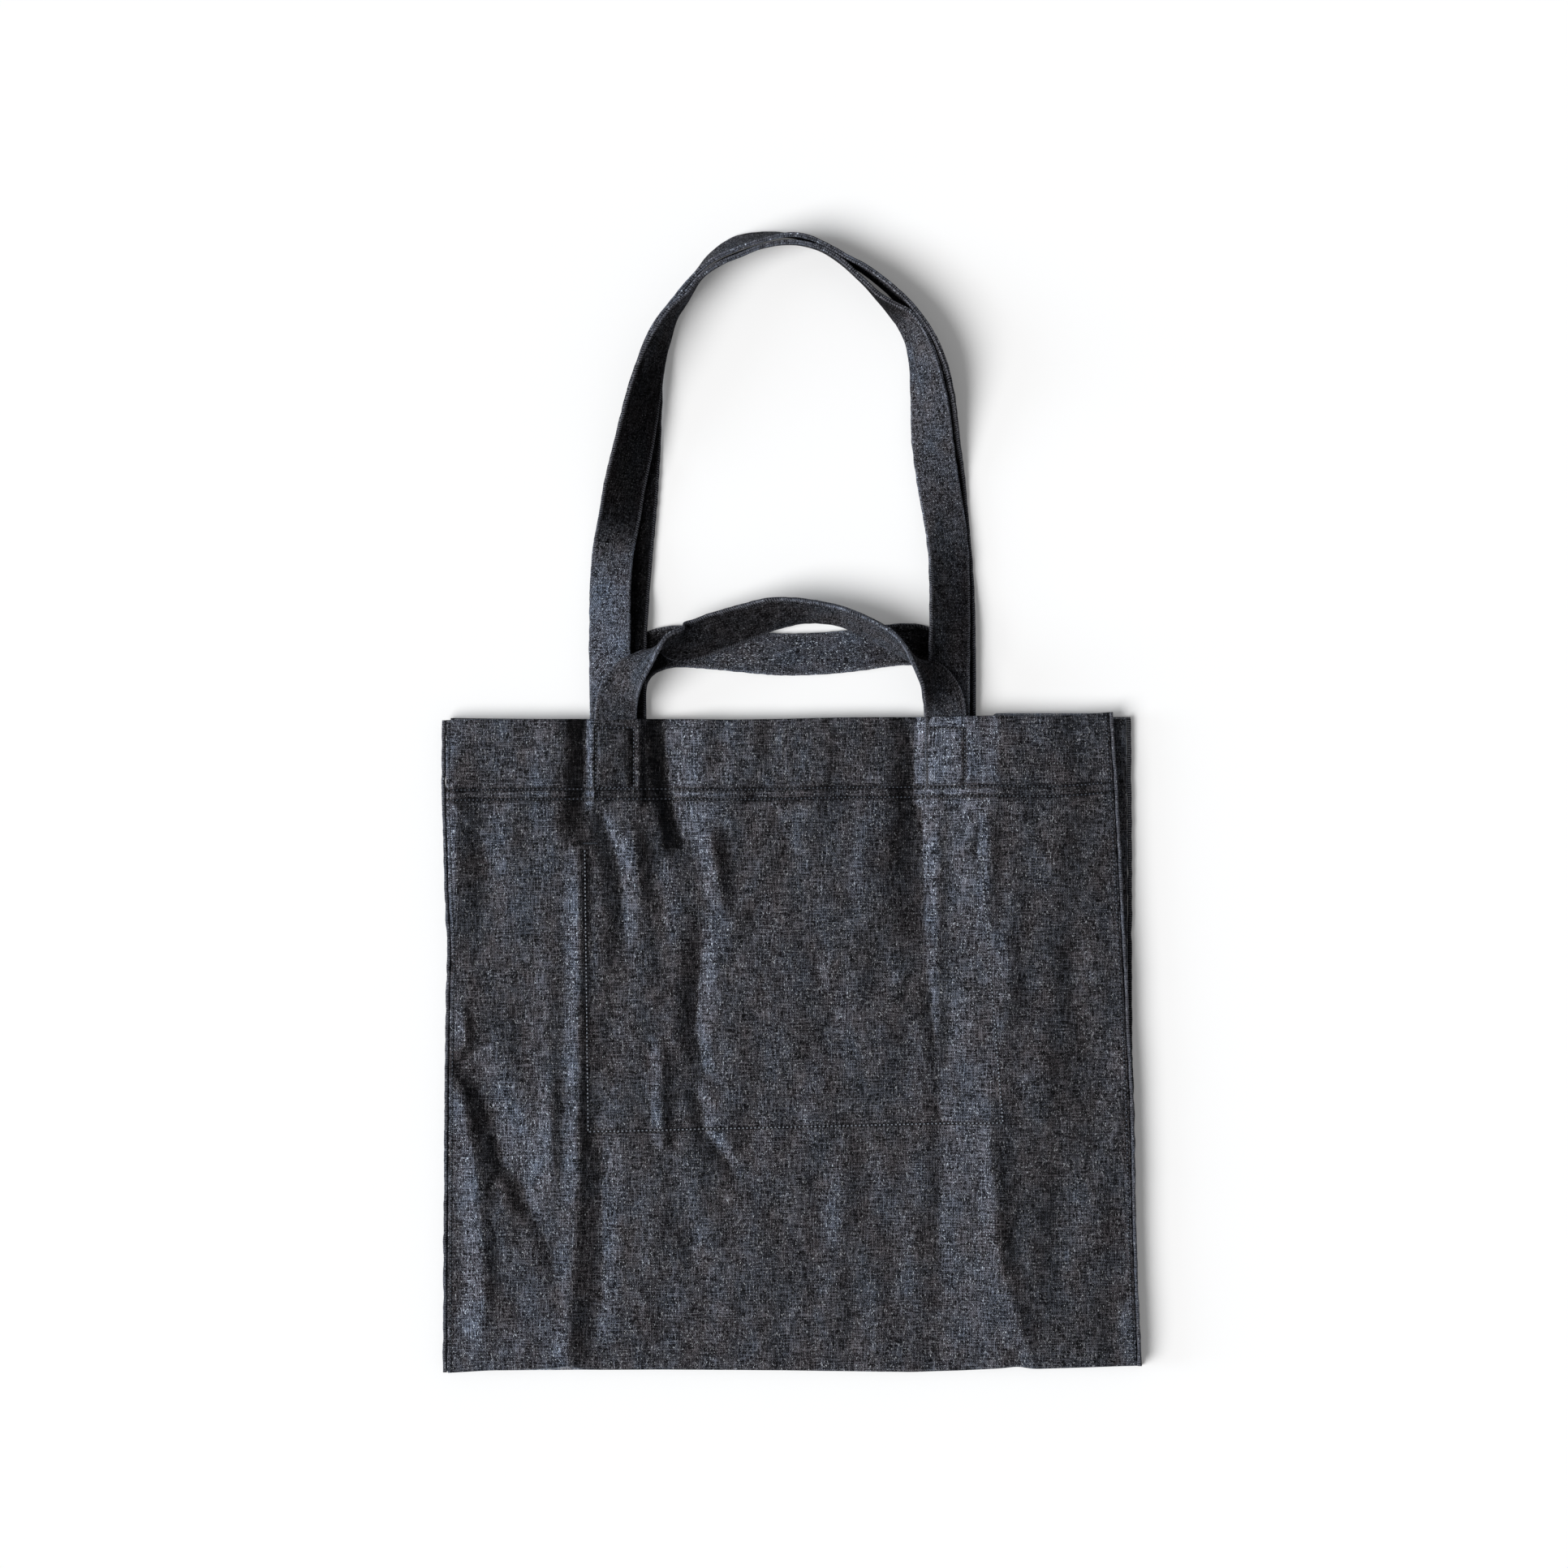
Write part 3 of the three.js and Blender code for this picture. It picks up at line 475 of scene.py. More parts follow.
def painted_slope_light(grid):
    """Painted light and shade of a sheet from its relief: flanks that rise to the right, towards the lamps,
    are painted paler and those that fall away darker.
    """
    x, z = grid[:, :, 0], grid[:, :, 2]
    slope = np.gradient(z, axis=0) / np.maximum(np.gradient(x, axis=0), 1e-3)
    for _ in range(3):
        slope[1:-1] = (slope[:-2] + 2 * slope[1:-1] + slope[2:]) / 4
    return 0.75 * np.tanh(slope / 0.15)


def patch(x, y, left_line, right_line, low, high, soft_x, soft_y):
    """1 between two lines of (y, x) points and between two heights, fading to 0 outside."""
    from_left, from_right = x - eased(y, left_line, 2), eased(y, right_line, 2) - x
    across = smooth(from_left / soft_x + 0.5) * smooth(from_right / soft_x + 0.5)
    return across * smooth((y - low) / soft_y + 0.5) * smooth((high - y) / soft_y + 0.5)


def front_painted_shading(grid):
    """Painted light and shade of the front: from its relief, from its patches, and painted shade along the
    needle holes and grooves of the stitching.
    """
    x, y = grid[:, :, 0], grid[:, :, 1]
    wear_and_painted_shading = painted_slope_light(grid)
    for amount, *place in PAINTED_LIGHT_PATCHES:
        wear_and_painted_shading = wear_and_painted_shading + amount * patch(x, y, *place)
    wear_and_painted_shading = np.clip(wear_and_painted_shading, -1, 1)
    # Painted shade along the rows of stitching, where the thread pulls the cloth into grooves and holes.
    stitch_groove_shade = np.zeros(x.shape)
    for row in hem_rows_at(x):
        stitch_groove_shade = np.maximum(stitch_groove_shade, bell(y - row, 1.4))
    stitch_groove_shade = np.maximum(stitch_groove_shade, np.clip(-1.5 * box_grooves(x, y), 0, 1))
    (right_x, _), (left_x, left_y) = POCKET[2:]
    inside = (x > left_x) & (x < right_x)
    stitch_groove_shade = np.maximum(stitch_groove_shade, inside * bell(y - (left_y + base_rise(POCKET, x)) - 1.7, 1.15))
    return wear_and_painted_shading * (1 - 0.7 * stitch_groove_shade) - 0.9 * stitch_groove_shade


def cloth_sheet(name, grid, materials, layer, flat=None, wear_and_painted_shading=None):
    """Closed sheet with rounded rims round a grid of middle points. materials are its upper and lower one."""
    m, n = grid.shape[:2]
    flat = grid[:, :, :2] if flat is None else flat
    flat = np.concatenate([flat, np.full((m, n, 1), layer)], axis=2)
    inset = grid.copy()
    for moved, source in ((inset, grid), (inset.swapaxes(0, 1), grid.swapaxes(0, 1))):
        for border, beside in ((0, 1), (-1, -2)):
            inwards = source[beside] - source[border]
            length = np.maximum(np.linalg.norm(inwards, axis=-1, keepdims=True), 1e-9)
            moved[border] += 0.32 * CLOTH * (inwards / length)
    half = surface_normals(grid) * (CLOTH / 2)
    loop = (
        [(i, 0) for i in range(m - 1)]
        + [(m - 1, j) for j in range(n - 1)]
        + [(i, n - 1) for i in range(m - 1, 0, -1)]
        + [(0, j) for j in range(n - 1, 0, -1)]
    )
    rim = tuple(np.array(places) for places in zip(*loop))
    points = np.concatenate([(inset + half).reshape(-1, 3), (inset - half).reshape(-1, 3), grid[rim]])
    index = np.arange(m * n).reshape(m, n)
    a, b, c, d = index[:-1, :-1], index[1:, :-1], index[1:, 1:], index[:-1, 1:]
    top = np.stack([a, d, c, b], axis=-1).reshape(-1, 4)
    bottom = np.stack([a, b, c, d], axis=-1).reshape(-1, 4) + m * n
    upper_rim, middle_rim = index[rim], 2 * m * n + np.arange(len(loop))
    lower_rim = upper_rim + m * n
    upper_next, middle_next, lower_next = (np.roll(line, -1) for line in (upper_rim, middle_rim, lower_rim))
    side_upper = np.stack([upper_rim, upper_next, middle_next, middle_rim], axis=-1)
    side_lower = np.stack([middle_rim, middle_next, lower_next, lower_rim], axis=-1)
    faces = np.concatenate([top, bottom, side_upper, side_lower])
    inner = np.repeat([0, 1, 0], [len(top), len(bottom), 2 * len(loop)])
    cloth = np.concatenate([flat.reshape(-1, 3), flat.reshape(-1, 3), flat[rim]])
    if wear_and_painted_shading is not None:
        wear_and_painted_shading = np.concatenate([wear_and_painted_shading.ravel(), np.zeros(m * n), wear_and_painted_shading[rim]])
    return mesh_piece(name, points, faces.tolist(), materials, cloth, wear_and_painted_shading=wear_and_painted_shading, inner=inner)


def grid_shares(start, stop, step, fine, fine_step, reach):
    """Places from start to stop as shares of the way, closer together round the fine ones."""
    places = set(np.round(np.linspace(start, stop, int(round((stop - start) / step)) + 1), 4))
    for place in fine:
        low, high = max(start, place - reach), min(stop, place + reach)
        if high > low:
            places |= set(np.round(np.arange(low, high, fine_step), 4))
    ordered = sorted(places)
    kept = [ordered[0]]
    for place in ordered[1:-1]:
        if min(place - kept[-1], ordered[-1] - place) >= fine_step * 0.8:
            kept.append(place)
    return (np.array(kept + [ordered[-1]]) - start) / (stop - start)


def catmull(route, step):
    """Points about step apart on the curve through a route. Every column is carried along."""
    points = np.array(route, float)
    padded = np.vstack([2 * points[0] - points[1], points, 2 * points[-1] - points[-2]])
    found = []
    for i in range(1, len(padded) - 2):
        p0, p1, p2, p3 = padded[i - 1 : i + 3]
        slope, bend, twist = p2 - p0, 2 * p0 - 5 * p1 + 4 * p2 - p3, 3 * p1 - p0 - 3 * p2 + p3
        pieces = max(2, int(round(np.linalg.norm((p2 - p1)[:2]) / step)))
        for k in range(pieces):
            t = k / pieces
            found.append(0.5 * (2 * p1 + slope * t + bend * t**2 + twist * t**3))
    found.append(points[-1])
    return np.array(found)


def run_along(points):
    """Distance of each point of a line from its start."""
    return np.concatenate([[0], np.cumsum(np.linalg.norm(np.diff(points, axis=0), axis=1))])


def tube_faces(rings, sides, base=0):
    """Faces between the rings of a tube whose points follow each other from number base on."""
    return [
        (ring + j, ring + (j + 1) % sides, ring + sides + (j + 1) % sides, ring + sides + j)
        for ring in range(base, base + (rings - 1) * sides, sides)
        for j in range(sides)
    ]


def tube_piece(name, rings, ends, around, along, layer, edge, wear_and_painted_shading):
    """Closed tube of strap denim round rings of points, with a fan round each of its two end points."""
    n, k = rings.shape[:2]
    faces = tube_faces(n, k)
    for j in range(k):
        after = (j + 1) % k
        faces += [(n * k, after, j), (n * k + 1, (n - 1) * k + j, (n - 1) * k + after)]
    cloth = np.stack([np.tile(around, n), np.repeat(along, k), np.full(n * k, layer)], axis=1)
    cloth = np.vstack([cloth, [0, along[0], layer], [0, along[-1], layer]])
    points = np.concatenate([rings.reshape(-1, 3), ends])
    return mesh_piece(name, points, faces, [STRAP_DENIM], cloth, edge, wear_and_painted_shading)


# Radius of a strap's folded edges across it, and the angles that shape the plain edge and the one where
# the folds meet in a groove.
EDGE_RADIUS = 1.1
PLAIN_EDGE = np.linspace(0.35, math.pi - 0.35, 6)
OPEN_EDGE = (0.35, 0.85, 1.3, 1.5, math.pi / 2, math.pi - 1.5, math.pi - 1.3, math.pi - 0.85, math.pi - 0.35)


def strap_section():
    """Section of a strap of thickness 1, as (across, through): folded edges and slightly crowned faces."""
    flat_end = STRAP_WIDTH / 2 - EDGE_RADIUS
    upper = []
    for i in range(15):
        across = flat_end - (STRAP_WIDTH - 2 * EDGE_RADIUS) * i / 14
        upper.append((across, 0.5 * (1 - 0.06 * (abs(across) / (STRAP_WIDTH / 2)) ** 4)))
    plain = [(-flat_end - EDGE_RADIUS * math.sin(a), 0.47 * math.cos(a)) for a in PLAIN_EDGE]
    lower = [(-across, -through) for across, through in upper]
    grooved = []
    for a in OPEN_EDGE:
        dent = 0.85 * math.exp(-(((a - math.pi / 2) / 0.12) ** 2))
        grooved.append((flat_end + (EDGE_RADIUS - dent) * math.sin(a), -0.47 * math.cos(a)))
    return np.array(upper + plain + lower + grooved)


ROUTE_STEP = 2.0
# Share of a step at which the second ring of a strap lies behind its end.
HAIR = 0.02
# Width of the paler line along a strap's folded edges: partly real edge wear, partly a painted highlight
# where the edges catch the light.
EDGE_WEAR_HIGHLIGHT = 0.8
# How far apart on the cloth the two sides of a strap lie, so that they differ.
UNDERSIDE_SHIFT = 40.0


def strap_piece(name, route, layer, seed, keep=None, tuck=False):
    """Folded strap along a route. keep chooses the points of the route that belong to this piece, and tuck
    thins it where it goes into its sewn ends."""
    x, y, under, roll, painted_shading_level = catmull(route, ROUTE_STEP).T
    roll = np.radians(roll)
    thickness = SEWN_THICKNESS + (STRAP_THICKNESS - SEWN_THICKNESS) * smooth((y - SEWN_Y) / 24)
    height = under + (STRAP_WIDTH * np.abs(np.sin(roll)) + thickness * np.abs(np.cos(roll))) / 2
    middle = np.stack([x, y, height], axis=1)
    along = run_along(middle)
    tangent = np.gradient(middle, axis=0)
    tangent /= np.linalg.norm(tangent, axis=1, keepdims=True)
    outward = np.cross((0, 0, 1), tangent)
    outward /= np.linalg.norm(outward, axis=1, keepdims=True)
    normal = np.cross(tangent, outward)
    cos, sin = np.cos(roll)[:, None], np.sin(roll)[:, None]
    side = outward * cos + normal * sin
    face = normal * cos - outward * sin
    if keep is not None:
        chosen = keep(np.arange(len(y)), y)
        middle, along, side, face, thickness, y, painted_shading_level = (
            v[chosen] for v in (middle, along, side, face, thickness, y, painted_shading_level)
        )
    across, through = strap_section().T
    # Past the mouth the strap isn't held down, so it bulges and its edges wander a little.
    loose = smooth((y - 62) / 30)
    wave = ripples(along, 0 * along, seed, 26, 1) * 0.22 * loose
    edge_wave = ripples(along, 0 * along, seed + 1, 9, 1) * 0.1 * loose
    full = 0.9 + 0.1 * smooth((y - SPLIT_Y - 0.3) / 1.2) if tuck else np.ones(len(y))
    rings = []
    for i in range(len(middle)):
        bulge = 0.35 * loose[i] * math.sin(along[i] / 31 + seed) * np.cos(math.pi * across / STRAP_WIDTH)
        sideways = across * (1 - 0.004 * abs(edge_wave[i])) + edge_wave[i]
        upwards = (
            through * thickness[i] * full[i] + wave[i] * (across / (STRAP_WIDTH / 2)) ** 2 * 0.6 + bulge * 0.5
        )
        rings.append(middle[i] + side[i] * sideways[:, None] + face[i] * upwards[:, None])
    # A second ring right behind each end keeps the shading of the cut off the faces.
    rings.insert(1, rings[0] + HAIR * (rings[1] - rings[0]))
    rings.insert(-1, rings[-1] + HAIR * (rings[-2] - rings[-1]))
    along = np.concatenate([along[:1], along, along[-1:]])
    painted_shading_level = np.concatenate([painted_shading_level[:1], painted_shading_level, painted_shading_level[-1:]])
    around = across + np.where(through >= 0, 0.0, UNDERSIDE_SHIFT)
    from_edge = np.tile(STRAP_WIDTH / 2 - np.abs(across), len(rings))
    painted_shading_level = np.repeat(painted_shading_level, len(across))
    # The folded edges are paler: real edge wear together with a painted highlight.
    wear_and_painted_shading = np.where(from_edge < EDGE_WEAR_HIGHLIGHT, np.minimum(painted_shading_level + 0.9, 1), painted_shading_level)
    return tube_piece(
        name, np.array(rings), [middle[0], middle[-1]], around, along, layer,
        np.append(from_edge, [9, 9]), np.append(wear_and_painted_shading, [0, 0]),
    )


def seam_ridge(name, line, low, high, side, layer, seed, painted_shading_level):
    """Pinched and turned seam allowance down one side edge of a face."""
    along = run_along(line)
    steps = 20
    angles = np.linspace(0, TAU, steps, endpoint=False)
    cos, sin = np.cos(angles), np.sin(angles)
    lap = -0.35 * np.exp(-((angles - math.pi * (0 if side > 0 else 1)) ** 2) / 0.03)
    wander = 0.25 * ripples(along, 0 * along, seed, 17, 1) + 0.12 * ripples(along, 0 * along, seed + 1, 5, 1)
    rings = []
    for i, (x, y) in enumerate(line):
        across = SEAM_WIDTH / 2 * np.sign(cos) * np.abs(cos) ** 0.7 * (1 + 0.06 * math.sin(along[i] / 3.1))
        upward = (high[i] - low[i]) / 2 * np.sign(sin) * np.abs(sin) ** 0.6
        xs = x + wander[i] * 0.5 + across * (1 + lap)
        rings.append(np.stack([xs, np.full(steps, y), (high[i] + low[i]) / 2 + upward], axis=1))
    rings = np.array(rings)
    count = rings.shape[0] * steps + 2
    return tube_piece(
        name, rings, [rings[0].mean(0), rings[-1].mean(0)], angles / TAU * 12, along, layer,
        np.full(count, 0.9), np.full(count, painted_shading_level),
    )


STITCH_RINGS, STITCH_SIDES = 8, 7


def stitch_piece(name, paths, height, material, pitch=2.4, length=2.1, radius=0.58, up=1.0):
    """Row of separate stitches along each path of (x, y) points, lying on a surface.

    Each stitch is a short thread that swells and dives into the cloth at its two ends. up is -1 for
    stitches on an underside."""
    ts = np.linspace(-1, 1, STITCH_RINGS)
    points, faces, cloth, ends = [], [], [], []
    for path in paths:
        path = np.array(path, float)
        along = run_along(path)
        total = along[-1]
        count = max(1, int(total / pitch))
        for middle in (np.arange(count) + 0.5) * total / count:
            at = middle + ts * length / 2
            x, y = (np.interp(at, along, line) for line in path.T)
            z = height(x, y) + up * (0.16 - 0.34 * np.abs(ts) ** 2.5)
            tx, ty = x[-1] - x[0], y[-1] - y[0]
            size = math.hypot(tx, ty)
            px, py = -ty / size, tx / size
            base = len(points)
            for i, t in enumerate(ts):
                r = radius * (0.65 + 0.75 * t * t) * math.sqrt(max(0.15, 1 - abs(t) ** 6))
                for j in range(STITCH_SIDES):
                    a = TAU * j / STITCH_SIDES
                    off = r * math.cos(a)
                    points.append((x[i] + px * off, y[i] + py * off, z[i] + 0.8 * r * math.sin(a)))
                    cloth.append((a, at[i], 7))
                    # How far along the stitch from its middle; the thread material paints shade past a share
                    # of it, at the needle hole.
                    ends.append(abs(t))
            faces += tube_faces(STITCH_RINGS, STITCH_SIDES, base)
            faces.append(tuple(range(base, base + STITCH_SIDES))[::-1])
            faces.append(tuple(range(len(points) - STITCH_SIDES, len(points))))
    return mesh_piece(name, points, faces, [material], cloth, edge=ends)


# ---------------------------------------------------------------- materials
def linear(red, green, blue):
    """Scene colour for an sRGB colour given from 0 to 255."""
    def one(c):
        c /= 255
        return c / 12.92 if c <= 0.04045 else ((c + 0.055) / 1.055) ** 2.4

    return one(red), one(green), one(blue), 1.0


class Shader:
    """Small helper that adds and joins the nodes of one material or world."""

    def __init__(self, owner, output="ShaderNodeOutputMaterial"):
        self.owner = owner
        owner.use_nodes = True
        self.tree = owner.node_tree
        self.tree.nodes.clear()
        self.output = self.node(output)

    def put(self, socket, value):
        if isinstance(value, bpy.types.NodeSocket):
            self.tree.links.new(value, socket)
        elif value is not None:
            socket.default_value = value

    def node(self, kind, **settings):
        made = self.tree.nodes.new(kind)
        for key, value in settings.items():
            setattr(made, key, value)
        return made

    def fed(self, kind, values, **settings):
        """Node whose first inputs take the given values."""
        made = self.node(kind, **settings)
        for socket, value in zip(made.inputs, values):
            self.put(socket, value)
        return made

    def math(self, operation, a, b=None, clamp=False):
        return self.fed("ShaderNodeMath", (a, b), operation=operation, use_clamp=clamp).outputs[0]

    def plus(self, a, b):
        return self.math("ADD", a, b)

    def times(self, a, b):
        return self.math("MULTIPLY", a, b)

    def attribute(self, name):
        return self.node("ShaderNodeAttribute", attribute_name=name)

    def cloth(self):
        """Place on the flat cloth as a vector, and its three parts."""
        place = self.attribute("cloth").outputs["Vector"]
        return place, *self.fed("ShaderNodeSeparateXYZ", [place]).outputs

    def vector(self, x, y, z):
        return self.fed("ShaderNodeCombineXYZ", (x, y, z)).outputs[0]

    def noise(self, vector, scale, detail=2.0, rough=0.5):
        made = self.node("ShaderNodeTexNoise", noise_dimensions="3D")
        for label, value in (("Vector", vector), ("Scale", scale), ("Detail", detail), ("Roughness", rough)):
            self.put(made.inputs[label], value)
        return made.outputs["Fac"]

    def between(self, value, low, high, to_low=0.0, to_high=1.0):
        return self.fed("ShaderNodeMapRange", (value, low, high, to_low, to_high)).outputs[0]

    def mix(self, factor, a, b, blend="MIX"):
        made = self.node("ShaderNodeMix", data_type="RGBA", blend_type=blend)
        for number, value in ((0, factor), (6, a), (7, b)):
            self.put(made.inputs[number], value)
        return made.outputs[2]

    def show(self, shown):
        self.put(self.output.inputs["Surface"], shown.outputs[0])

    def finish(self, base, rough, bump, bump_depth, sheen, tint, specular):
        relief = self.node("ShaderNodeBump")
        cloth = self.node("ShaderNodeBsdfPrincipled")
        for made, label, value in (
            (relief, "Strength", 1.0), (relief, "Distance", bump_depth), (relief, "Height", bump),
            (cloth, "Base Color", base), (cloth, "Roughness", rough), (cloth, "Specular IOR Level", specular),
            (cloth, "Sheen Weight", sheen), (cloth, "Sheen Roughness", 0.45), (cloth, "Sheen Tint", tint),
            (cloth, "Normal", relief.outputs[0]),
        ):
            self.put(made.inputs[label], value)
        self.show(cloth)
        return self.owner


# Millimetres from rib to rib and from float to float, and how far each row of floats is shifted.
TWILL_LEAN = math.radians(56.3)
TWILL_PITCH = 0.97
FLOAT_PITCH = 0.70
FLOAT_SHIFT = 0.37
# Tints that painted light and painted shade multiply the colour by, and those of the broad clouds of dye.
PAINTED_LIGHT_TINT = (1.88, 2.06, 2.27, 1.0)
PAINTED_SHADE_TINT = (0.13, 0.125, 0.12, 1.0)
WARM, COOL = (1.07, 0.985, 0.95, 1.0), (0.93, 1.0, 1.07, 1.0)
CLOTH_SHEEN = linear(150, 172, 205)
THREAD_SHEEN = linear(120, 130, 150)
# Painted shade of a needle hole, where a stitch dives into the cloth.
NEEDLE_HOLE_SHADE = (0.002, 0.002, 0.003, 1.0)


def denim(name, dark, light, speck, contrast=1.0, slubs=1.0, hatch=False, sheen=0.12, shine=0.05):
    """Right- or wrong-side denim: diagonal ribs of short yarn floats, slubs, specks and mottling, with
    painted light and shade.
    """
    s = Shader(bpy.data.materials.new(name))
    plus, times, between = s.plus, s.times, s.between
    place, u, v, layer = s.cloth()
    cos, sin = math.cos(TWILL_LEAN), math.sin(TWILL_LEAN)

    def stretched(over, down, *settings):
        """Noise drawn out or squeezed across and down the cloth."""
        across = u if over == 1 else times(u, over)
        return s.noise(s.vector(across, v if down == 1 else times(v, down), layer), *settings)

    def centred(value, size):
        return times(s.math("SUBTRACT", value, 0.5), size)

    def wave(value):
        """1 at each whole number and -1 half-way between."""
        return s.math("COSINE", times(s.math("FRACT", value), TAU))

    # Ribs run up to the right. Each is a row of floats, and each float has its own tone.
    sway = times(s.noise(place, 0.06), 1.3)
    rib = s.math("DIVIDE", plus(s.math("SUBTRACT", times(u, sin), times(v, cos)), sway), TWILL_PITCH)
    row = s.math("FLOOR", rib)
    step = plus(s.math("DIVIDE", plus(times(u, cos), times(v, sin)), FLOAT_PITCH), times(row, FLOAT_SHIFT))
    cell = s.fed(
        "ShaderNodeTexWhiteNoise", [s.vector(row, s.math("FLOOR", step), layer)], noise_dimensions="3D"
    )
    own = s.math("POWER", cell.outputs["Value"], 1.6)
    yarn_float = times(between(wave(rib), 1.0, -1.0), between(wave(step), 1.0, -1.0, 0.45, 1.0))
    # Uneven yarns give fine streaks both ways, and dyeing gives soft clouds.
    grain = stretched(1, 1, 1.3, 2.0, 0.7)
    warp = stretched(1.5, 0.09, 1.0, 1.5, 0.7)
    weft = stretched(0.09, 1.4, 1.0, 1.5, 0.7)
    cloud = stretched(1, 0.75, 0.11, 4.0, 0.62)
    broad = stretched(1, 0.6, 0.06, 3.0, 0.6)
    slub = slubs * contrast
    streaks = plus(between(warp, 0.47, 0.78, 0.0, 2.0 * slub), between(weft, 0.47, 0.78, 0.0, 1.9 * slub))
    streaks = plus(plus(streaks, centred(grain, 1.8 * contrast)), centred(cloud, 0.8))
    level = plus(times(own, 1.1 * contrast), s.math("SUBTRACT", streaks, 0.45 * slubs - 0.23))
    tone = s.math("POWER", s.math("MAXIMUM", level, 0.0), 1.25)
    tone = s.math("MULTIPLY", tone, between(yarn_float, 0.0, 1.0, 0.2, 0.7), clamp=True)
    colour = s.mix(1.0, s.mix(tone, dark, light), s.mix(between(broad, 0.36, 0.64), WARM, COOL), "MULTIPLY")
    flecks = stretched(1.2, 0.55, 1.5, 1.0, 0.5)
    colour = s.mix(between(flecks, 0.65, 0.72, 0.0, 0.85), colour, speck)
    # Painted light and shade: lit places are painted paler and bluer, shaded places darker, with a little
    # random variation.
    painted_shading_level = plus(s.attribute("wear_and_painted_shading").outputs["Fac"], centred(stretched(1, 0.6, 0.22, 3.0, 0.65), 1.1))
    for end, shade in ((1.0, PAINTED_LIGHT_TINT), (-1.0, PAINTED_SHADE_TINT)):
        colour = s.mix(between(painted_shading_level, 0.0, end), colour, s.mix(1.0, colour, shade, "MULTIPLY"))
    if hatch:
        # The turned edge shows the slanting yarns of the cut.
        edge = s.attribute("edge").outputs["Fac"]
        slant = plus(times(v, TAU / 1.35), times(edge, -1.9))
        teeth = between(s.math("SINE", slant), -0.1, 0.9, 0.0, 0.75)
        colour = s.mix(times(between(edge, 2.3, 1.1), teeth), colour, light)
    height = plus(yarn_float, times(streaks, 0.6))
    return s.finish(colour, between(tone, 0.0, 1.0, 0.92, 0.8), height, 0.00013, sheen, CLOTH_SHEEN, shine)


DENIM = denim("denim_face", linear(9, 9, 10), linear(101, 101, 107), linear(172, 174, 178), sheen=0.07)
DENIM_INSIDE = denim("denim_reverse", linear(92, 97, 108), linear(186, 188, 190), linear(225, 225, 222), 0.8)
STRAP_DENIM = denim(
    "denim_strap", linear(5, 5, 5), linear(101, 102, 109), linear(172, 175, 180),
    slubs=0.5, hatch=True, sheen=0.005, shine=0.02,
)
POCKET_CLOTH = denim("denim_pocket", linear(9, 9, 10), linear(103, 103, 109), linear(165, 167, 171))
RIGHT_SIDE_UP, WRONG_SIDE_UP = [DENIM, DENIM_INSIDE], [DENIM_INSIDE, DENIM]


def thread_material(name, dark, light, shown):
    """Twisted sewing thread, with painted shade where each stitch dives into its needle hole."""
    s = Shader(bpy.data.materials.new(name))
    place, turn, along, _ = s.cloth()
    ply = s.between(s.math("SINE", s.plus(s.times(along, 9.0), turn)), -1.0, 1.0)
    fuzz = s.noise(place, 3.0)
    hole_shade = s.between(s.attribute("edge").outputs["Fac"], shown - 0.2, shown)
    colour = s.mix(hole_shade, s.mix(s.times(ply, fuzz), dark, light), NEEDLE_HOLE_SHADE)
    return s.finish(colour, s.between(fuzz, 0.2, 0.8, 0.5, 0.7), ply, 0.00006, 0.1, THREAD_SHEEN, 0.3)


THREAD = thread_material("thread_navy", linear(48, 54, 65), linear(142, 148, 161), 0.44)
POCKET_THREAD = thread_material("thread_pocket", linear(92, 98, 110), linear(206, 211, 220), 0.55)


# ---------------------------------------------------------------- the two faces
# Lengths over which a face bends at its turned mouth edge and at the base.
MOUTH_TURN, BASE_TURN = 0.8, 1.4


def face_grid(face, bows, us, vs, under, inset=SEAM_INSET):
    """Grid of middle points of a face, kept a seam's width in from its two side edges."""
    u, v = np.meshgrid(us, vs, indexing="ij")
    edge = inset / (face[1][0] - face[0][0])
    x, y = face_xy(face, bows, edge + u * (1 - 2 * edge), v)
    return np.stack([x, y, under(x, y, v) + CLOTH / 2], axis=2)


def front_height(x, y, v):
    """Underside of the front panel, which turns down at the mouth and tucks in at the base."""
    turn = 1.0 * fading(v * FACE_HEIGHT, MOUTH_TURN) * (1 - strap_swell(x, y))
    return front_under(x, y) - turn - 2.4 * fading((1 - v) * FACE_HEIGHT, BASE_TURN)


def back_height(x, y, v):
    """Underside of the back panel, which turns up at both ends."""
    turn = 1.6 * fading((1 - v) * FACE_HEIGHT, BASE_TURN) + 0.6 * fading(v * FACE_HEIGHT, MOUTH_TURN)
    return back_relief(x, y) + turn


across_shares = grid_shares(
    FRONT[0][0], FRONT[1][0], step=1.5, fine=(-123, -117.8, -95, -92, 79, 81, 103.6, 108),
    fine_step=0.6, reach=2.6,
)
down_shares = grid_shares(
    0, FACE_HEIGHT, step=1.5, fine=(0.5, 5, *HEM_DEPTHS, 246, 248, 250, 391), fine_step=0.5, reach=2.6
)
front_grid = face_grid(FRONT, FRONT_BOWS, across_shares, down_shares, front_height)
front_cloth = cloth_sheet("front_cloth", front_grid, RIGHT_SIDE_UP, 3.0, wear_and_painted_shading=front_painted_shading(front_grid))
down_shares = grid_shares(
    0, FACE_HEIGHT, step=2.4, fine=(0.5, *HEM_DEPTHS, 391), fine_step=0.6, reach=2.4
)
back_grid = face_grid(BACK, BACK_BOWS, np.linspace(0, 1, 190), down_shares, back_height)
# The wrong side of the back panel faces up, into the bag.
back_cloth = cloth_sheet("back_cloth", back_grid, WRONG_SIDE_UP, 9.0)


